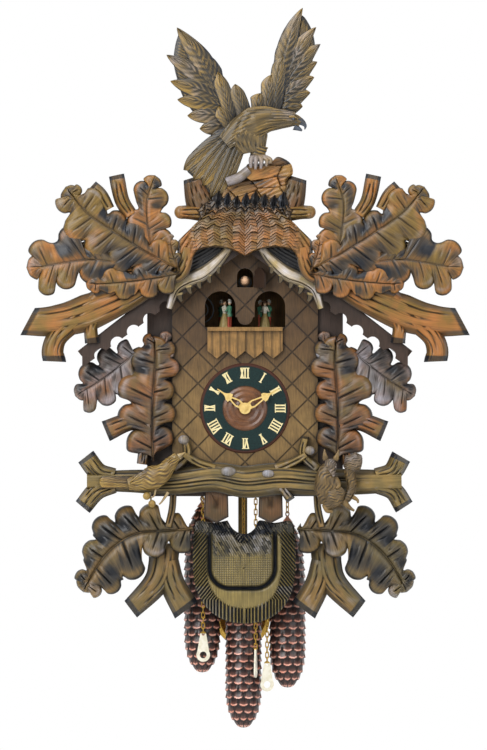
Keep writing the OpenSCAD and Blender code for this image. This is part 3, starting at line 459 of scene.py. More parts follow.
@dataclass(frozen=True)
class CarvedWood:
    """Carved limewood, stained with a brush and lacquered satin.

    Stain gathers in the cuts, the raised faces are wiped lighter, and the lacquer gives a soft
    gloss. A painted grey sheen stands in for the lacquer's reflection, and painted shade darkens
    creases, overlaps and sides turned from the light.

    Attributes:
        name: Material name.
        face: Wiped raised wood.
        warm: Second colour of the raised wood, in patches.
        painted_sheen: Painted grey sheen in patches, standing in for the lacquer's reflection.
        shade: Stain on the slopes; also the painted shade on sides turned from the light.
        cut: Stain in the deepest cuts; also the painted shade in creases and under overlaps.
        grain: Grain source.
        patch_mm: Size of the colour patches.
        rough: Roughness of the lacquer.
        depth: Bump strength of the fibres.
        carved: Whether the piece has the carve and tone attributes.
    """
    name: str
    face: str
    warm: str
    painted_sheen: str
    shade: str
    cut: str
    grain: Grain = Grain.SURFACE
    patch_mm: float = 34.0
    rough: float = 0.42
    depth: float = 0.35
    carved: bool = True

    def build(self) -> Material:
        """Make the material."""
        material = new_material(self.name)
        add, shader, _ = opened(material)
        where = add("TexCoord", out="Object")
        patch = add("TexNoise", {"Vector": where, "Scale": 1000 / self.patch_mm, "Detail": 3.0,
                                 "Roughness": 0.55})
        sheen = add("TexNoise", {"Vector": where, "Scale": 1700 / self.patch_mm, "W": 3.7,
                                 "Detail": 2.0}, noise_dimensions="4D")
        if self.grain is Grain.SURFACE:
            source, stretch = add("UVMap", uv_map="grain"), (FIBRE_ENDS, FIBRES, 1.0)
        else:
            source, stretch = where, tuple(FIBRES * k for k in self.grain.value)
        laid = add("Mapping", {"Vector": source, "Scale": stretch})
        fibre = add("TexNoise", {"Vector": laid, "Scale": 1.0, "Detail": 3.0, "Roughness": 0.6})
        face = add("ValToRGB", {"Fac": patch}, stops=((0.40, self.face), (0.60, self.warm)))
        if self.carved:
            # Painted sheen: where tone and a slow noise are high, the face turns to the cool
            # colour, a painted grey-blue reflection of the light.
            tone = add("Attribute", out="Fac", attribute_name="tone")
            lifted = add("Math", {0: tone, 1: sheen}, operation="MULTIPLY")
            grey = add("MapRange", {"Value": lifted, 1: 0.30, 2: 0.63, 4: 0.75})
            face = add("Mix", {0: grey, 6: face, 7: linear(self.painted_sheen)}, **COLOURS)
            # The carving value mixes the face down to the shade and cut colours: stain in the cuts,
            # and painted shade where the carving value is lowered for light and shade.
            carve = add("Attribute", out="Fac", attribute_name="carve")
            wobble = add("MapRange", {"Value": fibre, 1: 0.3, 2: 0.7, 3: -0.08, 4: 0.08})
            level = add("Math", {0: carve, 1: wobble}, operation="ADD")
            mask = add("MapRange", {"Value": level, 1: 0.38, 2: 0.86})
            deep = add("MapRange", {"Value": level, 1: 0.05, 2: 0.36})
            low = add("Mix", {0: deep, 6: linear(self.cut), 7: linear(self.shade)}, **COLOURS)
            face = add("Mix", {0: mask, 6: low, 7: face}, **COLOURS)
        streak = add("MapRange", {"Value": fibre, 1: 0.36, 2: 0.64, 3: 0.74, 4: 1.12})
        # Painted shade: ambient occlusion darkens the base colour in creases, where pieces overlap
        # and near the wall.
        crease = add("AmbientOcclusion", {"Distance": CREASE}, "AO", samples=6)
        crease_shade = add("MapRange", {"Value": crease, 1: 0.25, 2: 0.92, 3: 0.38, 4: 1.06})
        shade = add("Math", {0: streak, 1: crease_shade}, operation="MULTIPLY")
        set_inputs(shader, {
            "Base Color": shaded(add, face, shade),
            "Roughness": add("MapRange", {"Value": fibre, 3: self.rough - 0.08,
                                          4: self.rough + 0.12}),
            "Normal": add("Bump", {"Height": fibre, "Strength": self.depth,
                                   "Distance": 0.0006}),
            "IOR": 1.48, "Coat Weight": 0.12, "Coat Roughness": 0.3})
        return material


@dataclass(frozen=True)
class Painted:
    """Plain surface with a fine mottle: paint, ivory plastic, metal or felt.

    Attributes:
        name: Material name.
        colour: Main colour.
        second: Colour of the mottle.
        rough: Roughness.
        metallic: 1 for a metal.
        grit_mm: Size of the mottle.
        depth: Bump strength.
        coat: Weight of a clear coat.
    """
    name: str
    colour: str
    second: str
    rough: float = 0.5
    metallic: float = 0.0
    grit_mm: float = 3.0
    depth: float = 0.1
    coat: float = 0.0

    def build(self) -> Material:
        """Make the material."""
        material = new_material(self.name)
        add, shader, _ = opened(material)
        where = add("TexCoord", out="Object")
        grit = add("TexNoise", {"Vector": where, "Scale": 1000 / self.grit_mm, "Detail": 4.0})
        set_inputs(shader, {
            "Base Color": add("ValToRGB", {"Fac": grit},
                              stops=((0.35, self.second), (0.62, self.colour))),
            "Roughness": add("MapRange", {"Value": grit, 3: self.rough - 0.06,
                                          4: self.rough + 0.10}),
            "Normal": add("Bump", {"Height": grit, "Strength": self.depth,
                                   "Distance": 0.0004}),
            "Metallic": self.metallic, "Coat Weight": self.coat})
        return material


# ------------------------------------------------------------------ carved leaves and limbs

@dataclass(frozen=True)
class OakLeaf:
    """One carved oak leaf: rounded lobes on both sides of a bent midrib.

    Attributes:
        midrib: (x, z) points from the stem to the tip.
        near: Tips of the lobes on one side, from the stem on.
        far: Tips of the lobes on the other side.
        y_back: Depth of its flat back.
        thick: Its thickness at the fullest place.
        waist: How far the cuts between lobes stay from the midrib, as a share.
        stem: Half width at the stem.
        tone: How much painted grey sheen it takes.
        cup: Share of the lobes that are hollowed.
        stem_shade: Painted shade that darkens it towards the stem, where other leaves lie over it.
        per_lobe: Outline points for each lobe.
        cols: Points from the midrib to the outline.
        edge: Thickness at the outline.
    """
    midrib: Sequence[Point]
    near: Sequence[Point]
    far: Sequence[Point]
    y_back: float
    thick: float
    waist: float = 0.55
    stem: float = 3.0
    tone: float = 0.4
    cup: float = 0.3
    stem_shade: float = 0.15

    per_lobe = 30
    cols = 24
    edge = 3.0

    def outline(self, rib: Array, tips: Array) -> tuple[Array, Array, Array]:
        """Rounded outline of one half, from the stem to the leaf's tip.

        Each lobe ends in a half circle about a centre on its vein, and the cuts between lobes
        are single points; a smooth curve runs through them all.

        Args:
            rib: Dense midrib points.
            tips: Lobe tips of this side, stem first.

        Returns:
            Outline points, the share of the midrib each one starts from, and each one's place
            among the lobes, where k + 0.5 is the tip of lobe k.
        """
        share = np.linspace(0, 1, len(rib))
        length = np.linalg.norm(np.diff(rib, axis=0), axis=1).sum()

        def at(s: float) -> Array:
            """Point of the midrib at a share of its length."""
            return np.array([np.interp(s, share, rib[:, k]) for k in (0, 1)])

        nearest = np.array([np.linalg.norm(rib - t, axis=1).argmin() for t in tips])
        reach = np.linalg.norm(rib[nearest] - tips, axis=1)
        foot = np.clip(share[nearest] - 0.55 * reach / length, 0.05, 0.86)
        foot = np.maximum.accumulate(foot + np.arange(len(foot)) * 0.02)
        run = rib[-1] - rib[-20]
        run = run / np.linalg.norm(run)
        cap = min(0.62 * np.linalg.norm(tips[-1] - rib[-1]), 0.15 * length)
        crown_foot = 1 - cap / length
        feet = np.r_[foot, crown_foot]
        ends = np.vstack([tips, rib[-1]])
        gaps = np.r_[foot[0] * 0.3, (feet[:-1] + feet[1:]) / 2 + 0.02]
        cuts = [at(gaps[0]) + (tips[0] - at(foot[0])) * 0.16]
        for k in range(len(tips)):
            aim = (ends[k] + ends[k + 1]) / 2
            cuts.append(at(gaps[k + 1]) + (aim - at(gaps[k + 1])) * (self.waist + 0.2))
        out = cuts[0] - at(gaps[0])
        points, start, place = [at(0) + out / np.linalg.norm(out) * self.stem], [0.0], [-0.3]
        for k, tip in enumerate(ends):
            last = k == len(tips)
            line = run if last else (tip - at(feet[k])) / np.linalg.norm(tip - at(feet[k]))
            across = np.array([line[1], -line[0]])
            if np.dot(across, cuts[k] - tip) < 0:
                across = -across
            width = cap * 0.8 if last else min(0.47 * np.linalg.norm(cuts[k + 1] - cuts[k]),
                                         0.5 * np.linalg.norm(tip - at(feet[k])))
            width *= 1.08
            middle = tip - line * width
            points.append(cuts[k])
            start.append(gaps[k])
            place.append(float(k))
            turns = (75, 40, 0) if last else (64, 33, 0, -33, -64)
            for turn in turns:
                c, q = math.cos(math.radians(turn)), math.sin(math.radians(turn))
                points.append(middle + line * width * c + across * width * q)
                start.append(feet[k] if last else
                             feet[k] + (gaps[k] - feet[k] if turn > 0 else
                                        gaps[k + 1] - feet[k]) * abs(q) * 0.5)
                place.append(k + 0.5 - 0.34 * turn / 64)
        knots = np.array(points)
        count = self.per_lobe * len(ends)
        smooth = curve([tuple(q) for q in knots], count)
        along_it = np.linspace(0, 1, len(smooth))
        passed = [int(np.linalg.norm(smooth - q, axis=1).argmin()) for q in knots]
        passed = np.maximum.accumulate(passed) + np.arange(len(passed)) * 1e-6
        at_knots = np.interp(passed, np.arange(len(smooth)), along_it)
        return (smooth, np.interp(along_it, at_knots, start), np.interp(along_it, at_knots, place))

    def half(self, rib: Array, tips: Array, side: int) -> Surface:
        """One half of the leaf.

        Points lie on straight lines from the midrib to the outline. The height is a swelling
        between midrib and rim, less a valley to every cut and a groove along every vein; single
        lobes are lifted or hollowed.

        Args:
            rib: Dense midrib points.
            tips: Lobe tips of this side, stem first.
            side: 0 or 1, which half it is.

        Returns:
            The closed half leaf.
        """
        rim, start, place = self.outline(rib, tips)
        share = np.linspace(0, 1, len(rib))
        inner = np.stack([np.interp(start, share, rib[:, k]) for k in (0, 1)], -1)
        v = (np.linspace(0, 1, self.cols) ** 0.9)[None]
        plan = inner[:, None] + (rim - inner)[:, None] * v[..., None]
        lobe = np.clip(np.floor(place), 0, len(tips)).astype(int)
        q = np.clip(place - lobe, 0, 1)[:, None]
        crown = (lobe == len(tips))[:, None]
        q = np.where(crown, 0.5 * np.clip(q / 0.5, 0, 1), q)
        rng = np.random.default_rng(int(abs(rib[-1]).sum() * 10) + side)
        lift = rng.uniform(-1, 1, len(tips) + 1)
        lift = np.where(rng.random(len(tips) + 1) < self.cup, -1.2, lift)[lobe][:, None]
        valley = np.abs(2 * q - 1) ** 2.2 * ramp(v, 0.12, 0.9)
        vein = bell(q - 0.5, 0.012 + 0.03 * (1 - v)) * ramp(v, 0.0, 0.08) * (1 - ramp(v, .5, .85))
        gouge = (bell(q - 0.26, 0.05) + bell(q - 0.74, 0.05)) * bell(v - 0.42, 0.2)
        fall = np.sqrt(np.clip(1 - np.clip((v - 0.80) / 0.2, 0, 1) ** 2, 0, 1))
        s = start[:, None]
        rise = 0.70 + 0.30 * np.sin(np.pi * np.clip(s * 0.9 + 0.08, 0, 1))
        swell = 0.52 + 0.40 * np.sin(np.pi * np.clip(v, 0, 1) ** 0.8) ** 0.8 \
            + 0.24 * lift * ramp(v, 0.35, 1.0) * (1 - valley) + 0.06 * np.sin(7 * s + 5 * side)
        shape = (swell * (1 - 0.68 * valley) - 0.20 * vein - 0.13 * gouge) * rise
        shape = shape * (0.3 + 0.7 * fall)
        y = self.y_back - self.edge * (0.45 + 0.55 * fall) - (self.thick - self.edge) * np.clip(
            shape, 0, 1.05)
        # Painted light and shade: one side of each lobe is lighter and the other darker, as if lit
        # from one side.
        painted_side_light = (1 if side else -1) * (q - 0.5) * ramp(v, 0.05, 0.5)
        hollow = np.clip(-lift, 0, 1.2) * bell(v - 0.45, 0.28)
        # Carving value: dark along the veins, valleys, midrib line and rim, with hollowed lobes
        # darker and lifted ones lighter, plus the painted side light above and painted shade
        # towards the stem.
        carve = 0.78 - 0.38 * vein - 0.75 * ramp(v, 0.93, 1.0) - 0.42 * valley ** 1.1 \
            - 0.22 * gouge - 0.60 * bell(v - 0.015, 0.03) + 0.22 * bell(v - 0.85, 0.08) \
            + 0.14 * lift * ramp(v, 0.2, 0.7) + 0.55 * painted_side_light - 0.26 * hollow \
            - self.stem_shade * (0.5 + 0.5 * np.cos(np.pi * s))
        # Painted highlight: lifted lobes take more grey sheen near the rim, where they catch the
        # light.
        pale = 0.26 * bell(v - 0.82, 0.1) * ramp(lift, 0, .6) + 0.10 * ramp(lift, .4, 1)
        tone = self.tone + 0.3 * (rng.random(len(tips) + 1)[lobe][:, None] - 0.5) + pale
        span = np.linalg.norm(rim - inner, axis=1)[:, None]
        return slab(plan[..., 0], y, plan[..., 1], self.y_back, carve, tone,
                    (v * span, q * 22.0 + lobe[:, None] * 31.0))

    def build(self) -> list[Surface]:
        """Both halves and the raised midrib between them."""
        rib = curve(self.midrib, 240)
        halves = [self.half(rib, np.asarray(tips, float), k)
                  for k, tips in enumerate((self.near, self.far))]
        s = np.linspace(0, 0.93, 60)
        path = np.stack([np.interp(s, np.linspace(0, 1, 240), rib[:, k]) for k in (0, 1)], -1)
        rise = 0.70 + 0.30 * np.sin(np.pi * np.clip(s * 0.9 + 0.08, 0, 1))
        top = self.y_back - self.edge - (self.thick - self.edge) * rise * 0.56
        line = np.stack([path[:, 0], top + 0.9, path[:, 1]], -1)
        v = np.arange(10) / 10 * TURN
        wide = (1.5 - 1.1 * s)[:, None] * (0.7 if self.thick < 12 else 1.0)
        halves.append(tube(line, wide * np.cos(v), wide * np.sin(v) * 1.2, 0.75, self.tone))
        return halves


@dataclass(frozen=True)
class Limb:
    """Flat-topped carved branch with chamfered sides, gouge lines and square-cut ends.

    Attributes:
        path: (x, z) points.
        width: Widths along it.
        y_back: Depth of its flat back.
        thick: Thickness.
        lines: Positions of the gouge lines across, from -1 to 1.
        cut_end: Length of the sloping cut at the far end.
        cut_start: Length of the sloping cut at the near end.
        tone: How much painted grey sheen it takes.
        seed: Seed of the lines' wander.
        skew: How far the far cut runs aslant, in millimetres per half width.
        rows: Points along it.
        cols: Points across it.
    """
    path: Sequence[Point]
    width: Sequence[float]
    y_back: float
    thick: float
    lines: Sequence[float] = (-0.35, 0.1, 0.45)
    cut_end: float = 9.0
    cut_start: float = 0.0
    tone: float = 0.4
    seed: int = 1
    skew: float = 0.0

    rows = 64
    cols = 33

    def build(self) -> Surface:
        """Carve the limb.

        The height across is flat to 0.55 of the half width and slopes from there to 0.4 of the
        thickness at the sides; each gouge line takes a narrow bell out of it, wandering by a
        slow sine; near a cut end the height falls evenly to 0.45.

        Returns:
            The closed surface.
        """
        p = curve(self.path, self.rows)
        head = headings(p)
        across = np.stack([-head[:, 1], head[:, 0]], -1)
        w = along(self.width, self.rows)[:, None] / 2
        x = np.sin(np.linspace(-np.pi / 2, np.pi / 2, self.cols))[None]
        u = np.linspace(0, 1, self.rows)[:, None]
        length = np.linalg.norm(np.diff(p, axis=0), axis=1).sum()
        rng = np.random.default_rng(self.seed)
        height = 1 - 0.6 * ramp(np.abs(x), 0.5, 1.02) - 0.04 * x**2 + 0 * u
        dark = 0.42 * ramp(np.abs(x), 0.6, 0.76) + 0.25 * ramp(np.abs(x), 0.9, 1.0) + 0 * u
        for line in self.lines:
            wander = line + 0.07 * np.sin(TURN * (u * rng.uniform(.6, 1.4) + rng.random()))
            on = ramp(u, 0.02, 0.12) * (1 - ramp(u, *(np.sort(rng.uniform(.6, 1.0, 2)) + [0, .08])))
            groove = bell((x - wander) * w, 1.1) * on
            height = height - 2.2 / self.thick * groove
            dark = dark + 0.85 * bell((x - wander) * w, 0.8) * on
        facet = 0.5 * np.sin(x * 5 + 3 * np.sin(u * 5 + self.seed)) + 0.5 * np.sin(
            u * 17 + x * 3)
        height = height + 0.02 * facet
        for share, run in ((1 - u, self.cut_end), (u, self.cut_start)):
            if run:
                fall = 1 - np.clip(share * length / run, 0, 1)
                height = height * (1 - 0.55 * fall)
                dark = dark + 0.62 * (fall > 0.04)
        slant = self.skew * x * ramp(u, 0.6, 1.0)
        plan = p[:, None] + across[:, None] * (x * w)[..., None] + head[:, None] * slant[..., None]
        y = self.y_back - self.thick * height
        return slab(plan[..., 0], y, plan[..., 1], self.y_back, 0.95 - dark,
                    self.tone + 0.12 * facet, (u * length, x * w + 40 * self.seed))


def both(forms: Sequence[Surface]) -> list[Surface]:
    """The forms and their mirror images."""
    return list(forms) + [f.mirrored() for f in forms]


@dataclass
class Foliage:
    """Leaves and branches round the case, left and right.

    Attributes:
        roof_y: Back of the eave branches.
        eave_y: Back of the top leaves, the front of the eave branches.
        tie_y: Back of the cross branch and upright leaves.
        low_y: Back of the lower leaves.
        fork_t: Thickness of the lower forks.
        eave_t: Thickness of the eave branches.
    """
    roof_y: float = -171.0
    eave_y: float = -187.0
    tie_y: float = -146.0
    low_y: float = -126.0
    fork_t: float = 15.0
    eave_t: float = 16.0

    def eave_branch(self) -> list[Surface]:
        """Forked branch at the left eave, with its short stub."""
        y, t = self.roof_y, self.eave_t
        return [
            Limb([(-112, 4), (-150, -18), (-184, -34), (-222, -48), (-252, -53), (-283, -54)],
                 [30, 46, 48, 42, 36, 35], y, t, (-0.42, 0.05, 0.5), 9, tone=.3, seed=3,
                 skew=10).build(),
            Limb([(-190, -26), (-222, -52), (-243, -72), (-250, -90), (-248, -106)],
                 [30, 32, 29, 27, 30], y, t - 1, (-0.5, 0.0, 0.55), 8, tone=.35, seed=4,
                 skew=3).build(),
            Limb([(-158, -26), (-188, -42), (-200, -60), (-199, -82)], [22, 19, 17, 19], y, t - 3,
                 (-0.3, 0.35), 7, tone=.3, seed=5).build()]

    def top_leaves(self) -> list[Surface]:
        """The five leaves and two stubs above the left eave, back ones first."""
        y = self.eave_y
        left = OakLeaf([(-150, 20), (-196, 26), (-236, 22), (-258, 18), (-284, 16)],
                       [(-206, 48), (-236, 68), (-272, 51)], [(-206, -4), (-236, -12), (-260, -20)],
                       y, 10, .5, tone=.55)
        front = OakLeaf([(-84, 9), (-106, 4), (-147, -2), (-186, -5), (-207, -4)],
                        [(-112, 18), (-142, 20), (-178, 16)],
                        [(-106, -18), (-128, -24), (-160, -26), (-194, -18)], y, 10, .6, tone=.45)
        upper = OakLeaf([(-121, 36), (-127, 75), (-127, 104), (-117, 136)],
                        [(-152, 84), (-142, 125)], [(-97, 62), (-97, 82), (-99, 107)], y, 9.5, .5,
                        tone=.5)
        small = OakLeaf([(-86, 12), (-94, 34), (-99, 60)], [(-113, 32), (-114, 50)],
                        [(-84, 34), (-87, 50)], y, 8, .62, stem=3, tone=.6, cup=0)
        large = OakLeaf([(-90, 16), (-134, 40), (-178, 68), (-206, 88), (-233, 121)],
                        [(-112, 54), (-140, 80), (-163, 90), (-189, 117), (-212, 119)],
                        [(-112, 4), (-138, 2), (-177, 15), (-206, 32), (-233, 56), (-242, 90)],
                        y, 12.6, .62, tone=.4)
        stubs = [Limb([(-148, 84), (-160, 104), (-167, 136)], [18, 20, 20], y, 10, (-.3, .3), 6,
                      tone=.5, seed=6).build(),
                 Limb([(-176, 92), (-186, 110), (-199, 122)], [14, 16, 16], y, 9, (0.1,), 5,
                      tone=.5, seed=7).build()]
        ground = [Limb(path, width, y + 2, 5, (-.2, .3), 0, tone=.1, seed=11).build()
                  for path, width in (([(-100, 3), (-87, 8), (-78, 24), (-75, 42)],
                                       [17, 22, 22, 14]),
                                      ([(-172, 8), (-148, 6), (-124, 8)], [12, 25, 12]),
                                      ([(-224, 38), (-206, 41), (-188, 40)], [8, 22, 12]))]
        return [*stubs, *ground, *left.build(), *front.build(), *upper.build(), *small.build(),
                *large.build()]

    def upright_leaves(self) -> list[Surface]:
        """The tall leaf, the side leaf and their stubs beside the dial."""
        y = self.tie_y
        side = OakLeaf([(-142, -94), (-165, -113), (-191, -132), (-222, -151)],
                       [(-158, -150), (-179, -164), (-202, -173)],
                       [(-165, -82), (-192, -94), (-215, -113)], y, 11, .42, tone=.95, cup=.2)
        tall = OakLeaf([(-120, -236), (-121, -192), (-120, -149), (-117, -107), (-118, -72)],
                       [(-95, -197), (-91, -168), (-92, -140), (-85, -111), (-90, -88)],
                       [(-153, -203), (-165, -170), (-166, -132), (-152, -99), (-133, -74)],
                       y, 17, .55, tone=.45)
        back = OakLeaf([(-116, -130), (-108, -95), (-102, -66)], [(-128, -88)], [(-92, -92)], y, 8,
                       .5, tone=.9, cup=0)
        stubs = [Limb([(-124, -186), (-152, -185), (-182, -197)], [24, 22, 28], y, 13,
                      (-.35, .25), 6, tone=.6, seed=8).build(),
                 Limb([(-129, -205), (-134, -240)], [17, 15], y, 11, (-.2, .3), 0, tone=.6,
                      seed=9).build()]
        return [*stubs, *back.build(), *side.build(), *tall.build()]

    def lower_leaf(self) -> list[Surface]:
        """The large drooping leaf beside the nest plate, with its link to the cross branch."""
        y = self.low_y
        leaf = OakLeaf([(-68, -325), (-105, -327), (-145, -332), (-178, -354), (-200, -384),
                        (-212, -408)],
                       [(-98, -306), (-131, -294), (-166, -299), (-198, -314), (-211, -346),
                        (-219, -380)],
                       [(-89, -356), (-124, -362), (-142, -391), (-166, -407), (-189, -411)],
                       y, 19, .62, stem=9, tone=.5, cup=.35)
        link = Limb([(-100, -322), (-95, -296), (-93, -262)], [10, 9, 9], self.tie_y + 6, 5.7,
                    (0.0,), 0, tone=.5, seed=10).build()
        return [link, *leaf.build()]

    def lower_fork(self) -> list[Surface]:
        """Forked branch end below the lower leaf."""
        y = self.low_y + self.fork_t
        return [Limb([(-106, -344), (-108, -372), (-118, -398), (-150, -431)],
                     [42, 37, 34, 27], y, self.fork_t - .4, (-0.4, 0.1, 0.5), 8, tone=.5, seed=11,
                     skew=2).build(),
                Limb([(-102, -368), (-95, -398), (-77, -432)], [30, 33, 37], y,
                     self.fork_t - 1.4, (-0.35, 0.3), 7, tone=.5, seed=12, skew=-3).build()]

    def cross_branch(self) -> list[Surface]:
        """Long branch under the dial, with forked ends, knots and cut twigs."""
        y = self.tie_y
        beam = Limb([(-206, -262), (-150, -262), (-96, -263), (-40, -257), (0, -263), (48, -259),
                     (100, -263), (150, -263), (204, -262)],
                    [25, 27, 34, 40, 43, 42, 36, 30, 29], y, 20,
                    (-0.55, -0.25, 0.05, 0.3, 0.62), 0, tone=.45, seed=13).build()
        forms = [beam]
        for side in (-1, 1):
            tip = 4 if side > 0 else 0
            forms += [
                Limb([(side * 172, -257), (side * 192, -250), (side * (208 - tip), -230)],
                     [24, 25, 25 + tip / 2], y, 19, (-.4, 0.1, .5), 6, tone=.4,
                     seed=14 + side).build(),
                Limb([(side * 172, -266), (side * 194, -275), (side * (212 - tip), -296)],
                     [24, 25, 24 + tip / 2], y, 19, (-.5, 0.0, .4), 6, tone=.4,
                     seed=17 + side).build(),
                Limb([(side * 40, -246), (side * 62, -238), (side * 82, -226)], [15, 12, 11], y, 16,
                     (0.0,), 3, tone=.6, seed=20 + side).build(),
                Limb([(side * 94, -246), (side * 76, -228), (side * 79, -204)], [15, 13, 10], y, 14,
                     (0.2,), 3, tone=.6, seed=23 + side).build()]
        forms += [Limb([(46, -268), (54, -278), (60, -287)], [13, 12, 12], y, 18, (0.1,), 4,
                       tone=.8, seed=26).build(),
                  ball((-22, y - 19, -249), (10, 5, 6), .85),
                  ball((30, y - 19, -252), (8, 4, 5), .9),
                  ball((84, y - 12, -222), (7, 6, 6), .9),
                  ball((-80, y - 13, -208), (7, 6, 6), .9)]
        return forms

    def dress(self, kit: "Finishes") -> None:
        """Make every leaf and branch piece, right-hand ones as mirror images."""
        for node, forms, finish in (("eave_branch", self.eave_branch(), kit["amber"]),
                                    ("top_leaves", self.top_leaves(), kit["leaf"]),
                                    ("upright_leaves", self.upright_leaves(), kit["tall"]),
                                    ("lower_leaf", self.lower_leaf(), kit["olive"])):
            make_piece(f"carved_{node}_left", forms, finish, "root", [f"{node}_left"])
            make_piece(f"carved_{node}_right", [f.mirrored() for f in forms], finish, "root",
                       [f"{node}_right"])
        make_piece("carved_lower_forks", both(self.lower_fork()), kit["olive"], "root",
                   ["lower_forks"])
        make_piece("carved_cross_branch", self.cross_branch(), kit["bark"], "root",
                   ["cross_branch"])


# ------------------------------------------------------------------ eagle and crown

def blade(root: Point, tip: Point, width: float, y: float, thick: float, bend: float,
          tone: float, blunt: float) -> Surface:
    """One carved feather: a pointed blade with a raised shaft and slanting barbs.

    Its half width rises over the first fifth and falls to the point from the blunt share on;
    the height is a roof with the shaft as its ridge, cut by long broken sine grooves.

    Args:
        root: (x, z) of its root.
        tip: (x, z) of its point.
        width: Full width.
        y: Depth of its back.
        thick: Thickness at the shaft.
        bend: Sideways bow as a share of its length.
        tone: How much painted grey sheen it takes.
        blunt: Share of the length where it starts to narrow.

    Returns:
        The closed feather.
    """
    a, b = np.asarray(root, float), np.asarray(tip, float)
    run = b - a
    length = np.linalg.norm(run)
    run /= length
    side = np.array([-run[1], run[0]])
    u = np.linspace(0, 1, 44)[:, None]
    x = np.linspace(-1, 1, 15)[None]
    point = np.clip((u - blunt) / (1 - blunt), 0, 1)
    half = width / 2 * np.minimum(0.62 + 1.9 * u, 1) * ((1 - point ** 1.7) ** 0.85 * .98 + .02)
    half = half * (1 + 0.25 * x * ramp(u, .3, 1))
    line = a + (b - a) * u + side * (bend * length * 4 * u * (1 - u))
    plan = line[:, None] + side * (x * half)[..., None]
    slant = u * length + np.abs(x) * half * 1.6
    barb = np.sin(TURN * (np.abs(x) * half * 0.42 + 0.11 * u * length)) * (
        0.75 + 0.25 * np.sin(slant / 5.0))
    height = 1 - 0.45 * np.abs(x) ** 1.2 + 0.12 * barb * np.abs(x) * (1 - u) ** .3
    height = height * (0.75 + 0.25 * np.sin(np.pi * u)) - 0.12 * bell(np.abs(x) - 0.16, 0.08)
    # Painted light and shade: one side of the feather is lighter and the other darker (0.24 x), so
    # that the feathers look layered; the shaft line and the root are darker, the very edge dark and
    # a band just inside it light.
    carve = 0.60 - 0.75 * np.abs(x) ** 6 + 0.34 * barb + 0.24 * x - 0.32 * bell(x - 0.1, 0.05) \
        - 0.26 * (1 - u) + 0.40 * bell(np.abs(x) - 0.80, 0.1) + 0.1 * u
    return slab(plan[..., 0], y - thick * np.clip(height, .2, 1.1), plan[..., 1], y, carve, tone,
                (slant, x * half * 0.4))


def pad(outline: Sequence[Point], middle: Point, y_back: float, thick: float, tone: float,
        stroke: float, turn: float = 0.6) -> Surface:
    """Flat carved body under overlapping parts, filled from its middle.

    The height is even and falls off at the rim; long gouge strokes run across it.

    Args:
        outline: Corners of the outline; a smooth closed curve runs through them.
        middle: Point that sees the whole outline.
        y_back: Depth of the flat back.
        thick: Thickness.
        tone: How much painted grey sheen it takes.
        stroke: Distance between gouge strokes.
        turn: Slope of the strokes.

    Returns:
        The closed surface.
    """
    r, px, pz = fan(outline, middle, 161, 26)
    line = (pz - turn * px) / stroke
    cut = np.sin(TURN * line + 1.5 * np.sin(px / 11))
    rim = ramp(r, 0.88, 1.0)
    y = y_back - thick * (0.92 - 0.5 * rim + 0.08 * cut)
    carve = 0.52 + 0.3 * cut - 0.4 * rim
    return slab(px, y, pz, y_back, carve, tone, (line * stroke, px))


